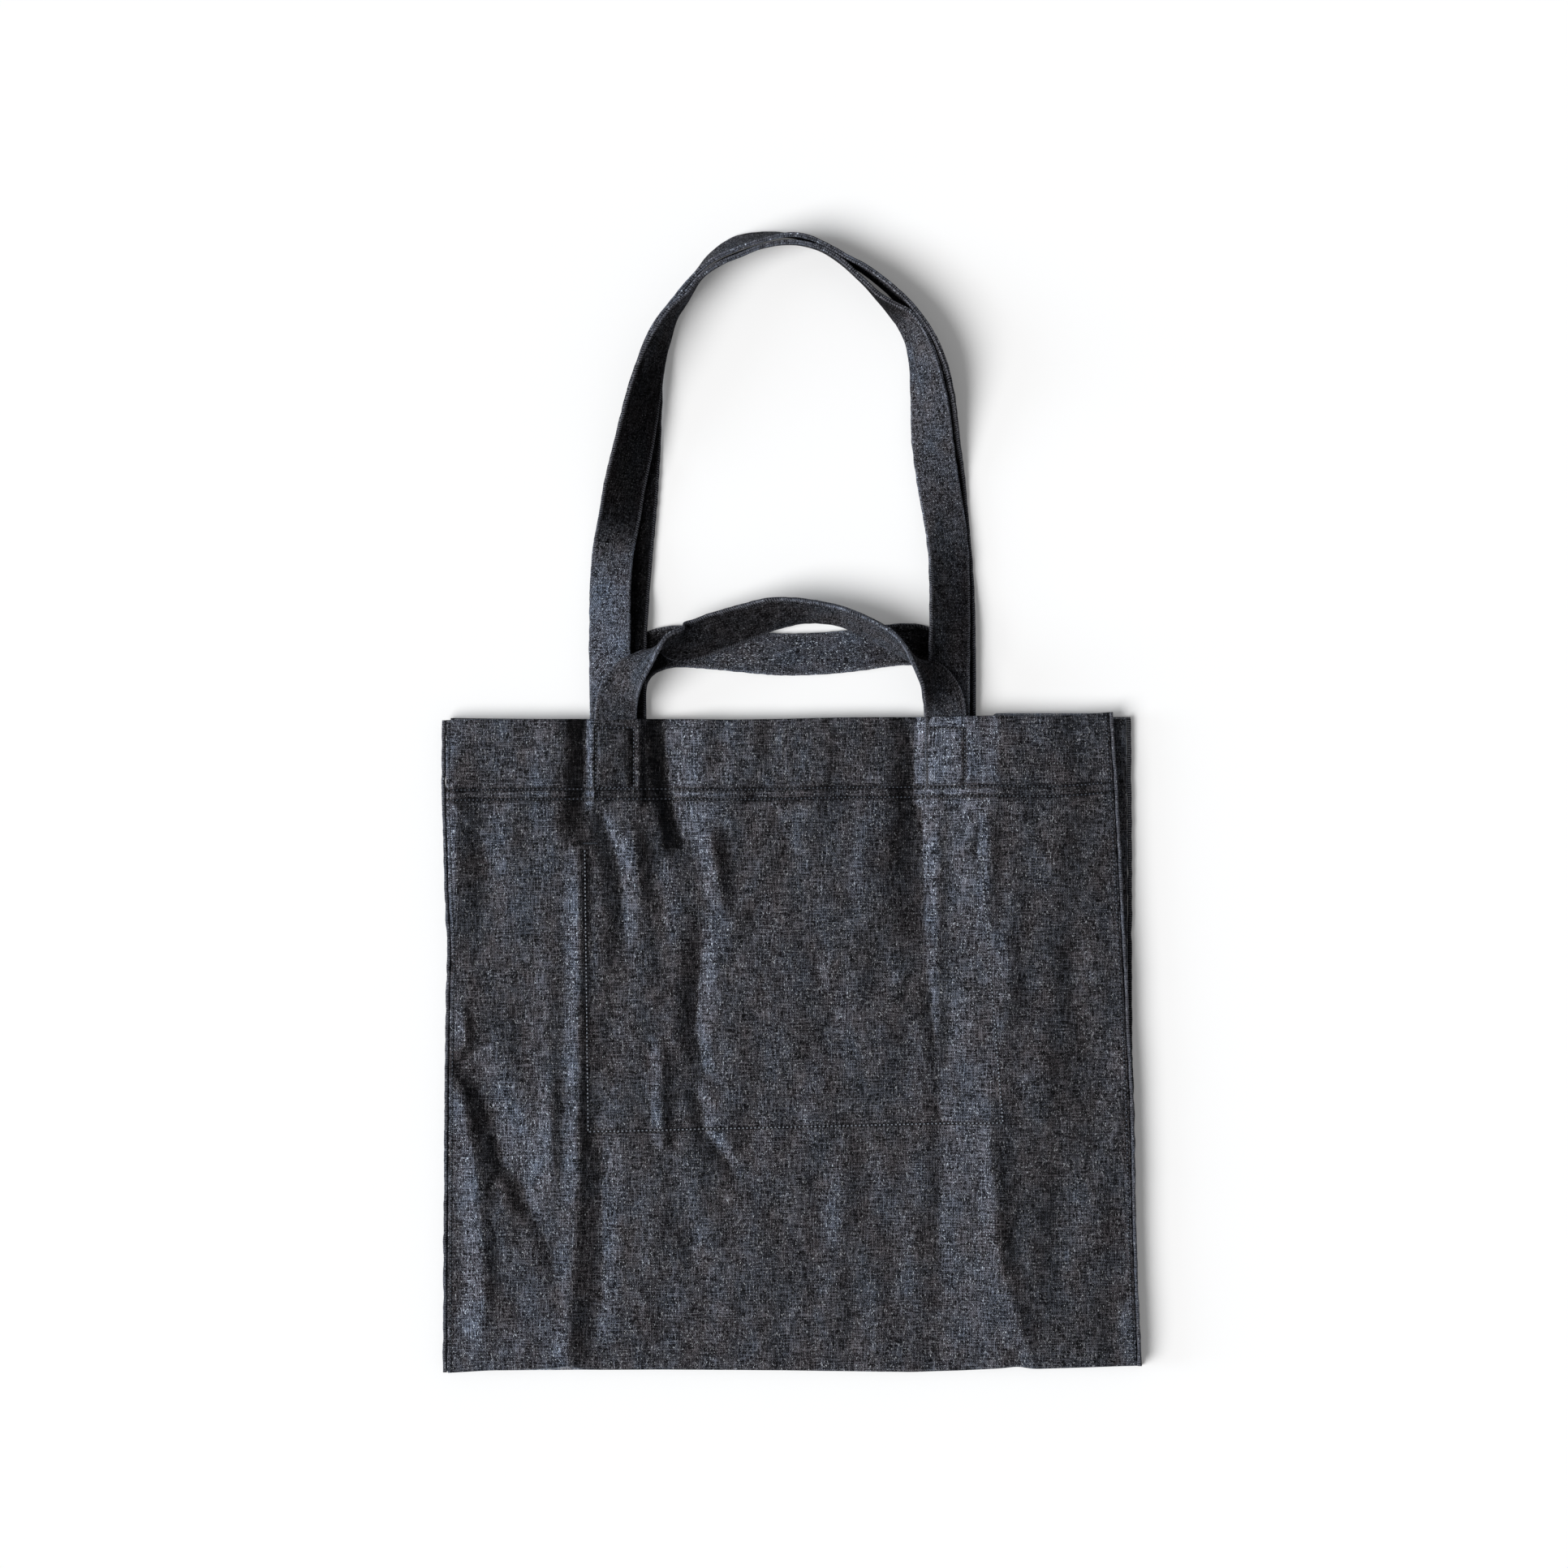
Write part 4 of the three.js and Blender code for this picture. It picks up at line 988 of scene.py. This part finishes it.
# ---------------------------------------------------------------- facings
def front_band_height(x, y, v):
    turn = 0.35 * fading(v * FACING_DEPTH, MOUTH_TURN) * (1 - strap_swell(x, y))
    return draped(x, y, FRONT_FACING_Z, FRONT_FACING_OVER_Z) + turn


def back_swell(x, y):
    """1 where the back facing lies over the sewn strap ends, 0 beside and below them."""
    total = blank(x, y)
    for low, high in BACK_STRAP_ZONES:
        total = total + smooth(1 - np.maximum(np.maximum(low - x, x - high), 0) / 7)
    return total * smooth((y + 9) / 9)


def back_band_height(x, y, v):
    swell = back_swell(x, y)
    lifted = BACK_FACING_Z + (BACK_FACING_OVER_Z - BACK_FACING_Z) * swell
    return lifted + back_relief(x, y) * (1 - swell) + 0.05


band_down = np.linspace(0, FACING_DEPTH, 33) / FACE_HEIGHT
front_band_grid = face_grid(FRONT, FRONT_BOWS, across_shares[::2], band_down, front_band_height)
front_mouth_band = cloth_sheet("front_mouth_band", front_band_grid, WRONG_SIDE_UP, 4.0)
back_band_grid = face_grid(BACK, BACK_BOWS, np.linspace(0, 1, 270), band_down, back_band_height)
back_mouth_band = cloth_sheet("back_mouth_band", back_band_grid, RIGHT_SIDE_UP, 5.0)


# ---------------------------------------------------------------- gussets and base
def hairpin(back_start, front_start, crease, low, high, straight, bend):
    """Section of a layer folded at a crease: places along one axis and heights, back half first."""
    radius = (high - low) / 2
    inward = 1 if crease > back_start else -1
    centre = crease - inward * radius
    turn = np.linspace(-math.pi / 2, math.pi / 2, bend + 1)
    back_half = np.linspace(back_start, centre, straight + 1)[:-1]
    front_half = np.linspace(centre, front_start, straight + 1)[1:]
    places = np.concatenate([back_half, centre + inward * radius * np.cos(turn), front_half])
    rise = (low + high) / 2 + radius * np.sin(turn)
    return places, np.concatenate([np.full(straight, low), rise, np.full(straight, high)])


# X of the inner fold of the left and the right gusset, at the mouth and at the base.
GUSSET_CREASES = {-1: (-132.5, -133.5), 1: (122.5, 134.0)}
# Points on each straight part of a folded section.
GUSSET_STEPS, BASE_STEPS = 26, 24
# Distance of the base's ends from the creases of the gussets.
BASE_GAP = 2


def crease_x(side, v):
    """X of the inner fold of a side gusset."""
    at_mouth, at_base = GUSSET_CREASES[side]
    return at_mouth + (at_base - at_mouth) * v


def gusset_grid(side, depth, low, high, reach, bend, rows):
    """Middle points of a side gusset, or of its facing, folded inwards to a crease."""
    edge = 0.0 if side < 0 else 1.0
    grid, flat = [], []
    for v in np.linspace(0.0015, depth, rows):
        front_x, front_y = face_xy(FRONT, FRONT_BOWS, edge, v)
        back_x, back_y = face_xy(BACK, BACK_BOWS, edge, v)
        x, heights = hairpin(
            back_x - side * SEAM_INSET, front_x - side * SEAM_INSET, crease_x(side, v) - side * reach,
            low + CLOTH / 2, high + CLOTH / 2, GUSSET_STEPS, bend,
        )
        y = back_y + (front_y - back_y) * (heights - heights[0]) / (heights[-1] - heights[0])
        grid.append(np.stack([x, y, heights], axis=1))
        flat.append(np.stack([run_along(np.stack([x, heights], axis=1)), y], axis=1))
    grid, flat = np.stack(grid, axis=1), np.stack(flat, axis=1)
    # Light buckling of a layer that has been pressed flat.
    buckling = 0.12 * ripples(grid[:, :, 0], grid[:, :, 1], 31 + side, 30, 60)
    grid[:, :, 2] += buckling * np.abs(grid[:, :, 0] - crease_x(side, 0.5)) / 90
    return grid, flat


def fold_parts(count):
    """Which points of a folded section make its back half and its front half. The middle one is left out."""
    return ("back", slice(None, count // 2)), ("front", slice(count // 2 + 1, None))


def gusset_halves(name, layer, side, **shape):
    """Back and front half of a side gusset or of its facing, which meet at the crease."""
    grid, flat = gusset_grid(side, **shape)
    return {
        half: cloth_sheet(f"{name}_{half}", grid[part][::side], WRONG_SIDE_UP, layer, flat[part][::side])
        for half, part in fold_parts(len(grid))
    }


gussets = {}
for name, side in (("left", -1), ("right", 1)):
    gussets[name, "half"] = gusset_halves(
        f"{name}_side_gusset", 12.0 + side, side, depth=0.994,
        low=GUSSET_BACK_Z, high=GUSSET_FRONT_Z, reach=0.0, bend=24, rows=80,
    )
    gussets[name, "facing"] = gusset_halves(
        f"{name}_gusset_band", 15.0 + side, side, depth=FACING_DEPTH / FACE_HEIGHT,
        low=GUSSET_BAND_BACK_Z, high=GUSSET_BAND_FRONT_Z, reach=BAND_REACH, bend=46, rows=14,
    )


def base_grid():
    """Middle points of the base, folded up to a crease between the two faces, and their flat places."""
    low, high = GUSSET_BAND_BACK_Z + CLOTH / 2, GUSSET_BAND_FRONT_Z + CLOTH / 2
    left, right = crease_x(-1, 1) + BASE_GAP, crease_x(1, 1) - BASE_GAP
    rows = []
    for t in np.linspace(0, 1, 90):
        x = left + (right - left) * t
        y_front = BASE_Y + base_rise(FRONT, x) + eased(np.array(x), FRONT_BASE_BOW, 3) * 0.6
        y_back = BASE_Y + base_rise(BACK, x)
        y, heights = hairpin(y_back, y_front, y_back + GUSSET_HALF_DEPTH, low, high, BASE_STEPS, bend=46)
        rows.append(np.stack([np.full(len(y), x), y, heights], axis=1))
    grid = np.array(rows)
    grid[:, :, 2] += 0.1 * ripples(grid[:, :, 0], grid[:, :, 1], 41, 40, 30)
    return grid, np.stack([grid[:, :, 0], np.broadcast_to(run_along(grid[0]), grid.shape[:2])], axis=2)


base_points, base_flat = base_grid()
bag_base = {
    half: cloth_sheet(f"bag_base_{half}", base_points[:, part], WRONG_SIDE_UP, 18.0, base_flat[:, part])
    for half, part in fold_parts(base_points.shape[1])
}


# ---------------------------------------------------------------- inner pocket
def pocket_height(x, y, v):
    return front_under(x, y) - 0.2 - CLOTH


def pocket_hem_height(x, y, v):
    return front_under(x, y) - 0.25 - 2 * CLOTH


pocket_across = np.linspace(0, 1, 150)
pocket_grid = face_grid(POCKET, NO_BOWS, pocket_across, np.linspace(0, 1, 110), pocket_height, inset=0)
patch_pocket = cloth_sheet("patch_pocket", pocket_grid, [DENIM_INSIDE, POCKET_CLOTH], 21.0)
hem_down = np.linspace(0.003, 12 / 174, 9)
pocket_hem_grid = face_grid(POCKET, NO_BOWS, pocket_across, hem_down, pocket_hem_height, inset=0.6)
patch_pocket_hem = cloth_sheet("patch_pocket_hem", pocket_hem_grid, [DENIM_INSIDE, POCKET_CLOTH], 24.0)


# ---------------------------------------------------------------- side seams
def side_seam(name, face, bows, side, low, top_at, layer, seed, painted_shading_level):
    """Seam ridge down one side of a face, from a level underside up to the height that top_at gives."""
    v = np.linspace(0, 1, 250)
    x, y = face_xy(face, bows, np.full(len(v), 0.0 if side < 0 else 1.0), v)
    x = x - side * SEAM_WIDTH / 2
    line, top = np.stack([x, y], axis=1), top_at(x - side * 2.2, y)
    return seam_ridge(name, line, low + 0 * top, top, side, layer + side, seed + side, painted_shading_level)


def front_seam_top(x, y):
    return front_top(x, y) + 0.15 - 1.6 * fading(y - BASE_Y, 1.5)


def back_seam_top(x, y):
    return 4.5 - 0.8 * fading(y - BASE_Y, 6)


seams = {}
# The last number of each seam ridge is its painted shading: the front ridges are painted a little paler where
# they catch the light, and the back ridges dark, painted shade, as they lie in the shadow of the front.
for name, side in (("left", -1), ("right", 1)):
    for face_name, *shape in (
        ("front", FRONT, FRONT_BOWS, side, 5.0, front_seam_top, 30.0, 51, 0.35),
        ("back", BACK, BACK_BOWS, side, 0.05, back_seam_top, 33.0, 55, -1.2),
    ):
        seams[f"{face_name}_{name}"] = side_seam(f"{face_name}_{name}_seam_ridge", *shape)


# ---------------------------------------------------------------- straps
def short_strap(prefix, route, layer, seed):
    """Hand strap in three lengths: its two sewn elbows and the loop between them."""
    total = len(catmull(route, ROUTE_STEP))
    name = f"{prefix}_short_strap"

    def elbow(first):
        return lambda i, y: (y <= SPLIT_Y + 0.5) & ((i < total / 2) == first)

    return (
        strap_piece(f"{name}_left_end", route, layer, seed, elbow(True)),
        strap_piece(f"{name}_right_end", route, layer, seed, elbow(False)),
        strap_piece(name, route, layer, seed, lambda i, y: y >= SPLIT_Y - 2.2, tuck=True),
    )


front_long_strap = strap_piece("front_long_strap", FRONT_SHOULDER_ROUTE, 40.0, 61)
back_long_strap = strap_piece("back_long_strap", BACK_SHOULDER_ROUTE, 43.0, 65)
front_short = short_strap("front", FRONT_HAND_ROUTE, 46.0, 69)
back_short = short_strap("back", BACK_HAND_ROUTE, 49.0, 73)


# ---------------------------------------------------------------- stitching
THREAD_LIFT = 0.1
POCKET_SIDE_STEPS = 60


def on_front(x, y):
    return front_top(x, y) + THREAD_LIFT


def under_back(x, y):
    return back_relief(x, y) - THREAD_LIFT


def between_points(a, b, count=40):
    return [(a[0] + (b[0] - a[0]) * i / count, a[1] + (b[1] - a[1]) * i / count) for i in range(count + 1)]


def mouth_row(face, bows, depth):
    """Row of stitching along the mouth of a face."""
    inset = 6.0 / (face[1][0] - face[0][0])
    u = np.linspace(inset, 1 - inset, 160)
    x, y = face_xy(face, bows, u, 0 * u)
    return np.stack([x, y - depth], axis=1)


def side_row(face, bows, side):
    """Row of stitching beside one side seam of a face."""
    inset = 4.6 / (face[1][0] - face[0][0])
    v = np.linspace(0.004, 0.994, 200)
    x, y = face_xy(face, bows, np.full(len(v), inset if side < 0 else 1 - inset), v)
    return np.stack([x, y], axis=1)


def box_row(low_x, high_x):
    """Four rows of stitching round a pair of strap ends."""
    corners = ((low_x, BOX_HIGH), (low_x, BOX_LOW), (high_x, BOX_LOW), (high_x, BOX_HIGH), (low_x, BOX_HIGH))
    return [between_points(a, b) for a, b in zip(corners, corners[1:])]


TACK_BARS, TACK_PITCH = 12, 0.72


def bar_tack(name, x, y, direction):
    """Close zigzag of thread that holds a corner of the pocket."""
    rows = []
    for i in range(TACK_BARS):
        at = x + direction * (0.6 + i * TACK_PITCH)
        rows.append([(at, y - 1.0), (at + direction * TACK_PITCH / 2, y + 1.0)])
    return stitch_piece(
        name, rows, lambda px, py: on_front(px, py) + 0.05, THREAD, pitch=2.0, length=1.9, radius=0.24
    )


hem_rows = {
    name: stitch_piece(f"hem_thread_{name}", [mouth_row(FRONT, FRONT_BOWS, depth)], on_front, THREAD)
    for name, depth in zip(("upper", "lower"), HEM_DEPTHS)
}
edge_rows = {
    name: stitch_piece(f"{name}_edge_thread", [side_row(FRONT, FRONT_BOWS, side)], on_front, THREAD)
    for name, side in (("left", -1), ("right", 1))
}
box_rows = {
    name: stitch_piece(f"{name}_box_thread", box_row(low, high), on_front, THREAD)
    for name, (low, high) in BOXES.items()
}
pocket_corners = [
    face_xy(POCKET, NO_BOWS, u, v) for u, v in ((0.006, 0.02), (0.006, 0.99), (0.994, 0.99), (0.994, 0.02))
]
pocket_sides = [
    between_points(a, b, POCKET_SIDE_STEPS) for a, b in zip(pocket_corners, pocket_corners[1:])
]
pocket_thread = stitch_piece("pocket_thread", pocket_sides, on_front, POCKET_THREAD)
tacks = {
    name: bar_tack(f"pocket_{name}_tack_thread", x, y, direction)
    for name, (x, y), direction in (("left", POCKET[0], 1), ("right", POCKET[1], -1))
}
back_stitching = stitch_piece(
    "back_topstitching",
    [mouth_row(BACK, BACK_BOWS, depth) for depth in HEM_DEPTHS]
    + [side_row(BACK, BACK_BOWS, side) for side in (-1, 1)]
    + [row for low, high in BACK_BOXES for row in box_row(low, high)],
    under_back, THREAD, up=-1.0,
)


# ---------------------------------------------------------------- what each piece stands for and rides on
HINGE_START, HINGE_END = (0, 0.050, 0.0168), (0, 0.063, 0.0168)
HAND_START, HAND_END = (0, 0.063, 0.0168), (0, 0.078, 0.0168)


def across_fold(first, last, reach):
    """Points on both sides of a fold line, outer one first, reach away from its middle, in metres."""
    first, last = np.array(first), np.array(last)
    along = (last - first) / np.linalg.norm(last - first)
    off = reach * np.array([-along[1], along[0]])
    outer, inner = (((first + last) / 2 + sign * off) / 1000 for sign in (-1, 1))
    return (*outer, 0), (*inner, 0)


def gusset_fold(side, reach):
    """Blend points of a side gusset: the seam side, and as far past the crease."""
    ends = [(crease_x(side, 0) - side * reach, MOUTH_Y), (crease_x(side, 1) - side * reach, BASE_Y)]
    return across_fold(*ends[::-side], GUSSET_HALF_DEPTH + reach + 4)


def place(piece, nodes, slot, body=None, blend=None):
    """Hides the CAD nodes that a piece stands for and hangs it on its body; a piece given a blend instead
    keeps its place, with its transform baked in. slot is not used.
    """
    if nodes:
        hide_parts(*nodes)
    if body is not None:
        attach(piece, body)
    else:
        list(blend)
        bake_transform(piece)


place(front_cloth, ["front_panel"], "denim", "front")
place(back_cloth, ["back_panel"], "denim", "root")
place(front_mouth_band, ["front_facing"], "denim_inside", "front")
place(back_mouth_band, ["back_facing"], "denim_inside", "root")
for name, side in (("left", -1), ("right", 1)):
    for kind, slot, reach in (("half", "denim", 0), ("facing", "denim_inside", BAND_REACH)):
        outer, inner = gusset_fold(side, reach)
        halves = gussets[name, kind]
        place(halves["back"], [f"{name}_gusset_back_{kind}"], slot, blend=("root", "front", outer, inner))
        place(halves["front"], [f"{name}_gusset_front_{kind}"], slot, blend=("root", "front", inner, outer))
    place(seams["front_" + name], [f"front_{name}_seam"], "denim", "front")
    place(seams["back_" + name], [f"back_{name}_seam"], "denim", "root")
    place(edge_rows[name], [f"{name}_edge_stitching"], "thread", "front")
    place(box_rows[name], [f"{name}_box_stitching"], "thread", "front")
    place(tacks[name], [f"pocket_{name}_bar_tack"], "thread", "front")
for name in ("upper", "lower"):
    place(hem_rows[name], [f"hem_stitching_{name}"], "thread", "front")
base_crease = [tuple(line[line[:, 1].argmax()]) for line in base_points[[0, -1], :, :2]]
outer, inner = across_fold(*base_crease, GUSSET_HALF_DEPTH)
place(bag_base["back"], ["base_back_half"], "denim", blend=("root", "front", outer, inner))
place(bag_base["front"], ["base_front_half"], "denim", blend=("root", "front", inner, outer))
place(patch_pocket, ["inner_pocket"], "pocket_cloth", "front")
place(patch_pocket_hem, ["pocket_hem"], "pocket_cloth", "front")
place(pocket_thread, ["pocket_stitching"], "thread", "front")
place(back_stitching, [], "thread", "root")
for strap, prefix, face in ((front_long_strap, "front", "front"), (back_long_strap, "back", "root")):
    nodes = [f"{prefix}_shoulder_strap{end}" for end in ("", "_left_end", "_right_end")]
    place(strap, nodes, "strap_denim", blend=(face, f"{prefix}_shoulder", HINGE_START, HINGE_END))
for (left, right, loop), prefix, face in ((front_short, "front", "front"), (back_short, "back", "root")):
    shoulder, hand = f"{prefix}_shoulder", f"{prefix}_hand"
    place(left, [f"{hand}_strap_left_end"], "strap_denim", blend=(face, shoulder, HINGE_START, HINGE_END))
    place(right, [f"{hand}_strap_right_end"], "strap_denim", blend=(face, shoulder, HINGE_START, HINGE_END))
    place(loop, [f"{hand}_strap"], "strap_denim", blend=(shoulder, hand, HAND_START, HAND_END))

# Flat sizes of the cloth, in metres.
folded_layers = [(bag_base, (0.264, 0.076))]
for name in ("left", "right"):
    folded_layers += [(gussets[name, "half"], (0.076, 0.392)), (gussets[name, "facing"], (0.076, 0.048))]

# ---------------------------------------------------------------- studio
FLOOR_REACH = 9.0
FLOOR_DROP = 0.0002
FLOOR_COLOUR = 0.9
FLOOR_GLOW = 0.095
FILL = 0.23

scene = bpy.context.scene
floor_mesh = bpy.data.meshes.new("studio_floor")
corners = [(x * FLOOR_REACH, y * FLOOR_REACH, 0) for x, y in ((-1, -1), (1, -1), (1, 1), (-1, 1))]
floor_mesh.from_pydata(corners, [], [(0, 1, 2, 3)])
floor = bpy.data.objects.new("studio_floor", floor_mesh)
floor.location.z = -FLOOR_DROP
bpy.context.collection.objects.link(floor)

# A white floor that glows a little for the camera and in reflections, but lights nothing.
paint = Shader(bpy.data.materials.new("studio_floor"))
ray = paint.node("ShaderNodeLightPath").outputs
seen = paint.math("MAXIMUM", ray["Is Glossy Ray"], ray["Is Transmission Ray"])
seen = paint.math("MAXIMUM", ray["Is Camera Ray"], seen)
matte = paint.fed("ShaderNodeBsdfDiffuse", [(FLOOR_COLOUR, FLOOR_COLOUR, FLOOR_COLOUR, 1)])
glow = paint.fed("ShaderNodeEmission", [(1, 1, 1, 1), paint.times(seen, FLOOR_GLOW)])
paint.show(paint.fed("ShaderNodeAddShader", [matte.outputs[0], glow.outputs[0]]))
floor_mesh.materials.append(paint.owner)


def sun(name, level, elevation, bearing, spread, colour):
    """Distant lamp. Its level is the brightness that it alone gives a level white surface."""
    elevation, bearing = math.radians(elevation), math.radians(bearing)
    lamp = bpy.data.lights.new(name, "SUN")
    lamp.energy = level * math.pi / math.sin(elevation)
    lamp.angle = math.radians(spread)
    lamp.color = colour
    holder = bpy.data.objects.new(name, lamp)
    across = math.cos(elevation)
    towards = Vector((across * math.cos(bearing), across * math.sin(bearing), math.sin(elevation)))
    holder.rotation_euler = towards.to_track_quat("Z", "Y").to_euler()
    bpy.context.collection.objects.link(holder)


# A broad lamp on the left, a weak raking one that brings out the folds, and an even fill from all round.
sun("key_light", level=0.72, elevation=45, bearing=204, spread=38, colour=(1.0, 1.0, 1.0))
sun("raking_light", level=0.07, elevation=16, bearing=178, spread=20, colour=(0.86, 0.96, 1.05))
scene.world = bpy.data.worlds.new("studio")
sky = Shader(scene.world, "ShaderNodeOutputWorld")
camera_ray = sky.node("ShaderNodeLightPath").outputs["Is Camera Ray"]
strength = sky.between(camera_ray, 0.0, 1.0, FILL, 1.0)
sky.show(sky.fed("ShaderNodeBackground", [(1, 1, 1, 1), strength]))

camera_data = bpy.data.cameras.new("camera")
camera_data.lens = 85
camera_data.sensor_width = 36
camera = bpy.data.objects.new("camera", camera_data)
camera.location = (-0.0049, 0.0107, 2.234)
camera.rotation_euler = (0, 0, 0)
bpy.context.collection.objects.link(camera)
scene.camera = camera
scene.view_settings.view_transform = "Standard"
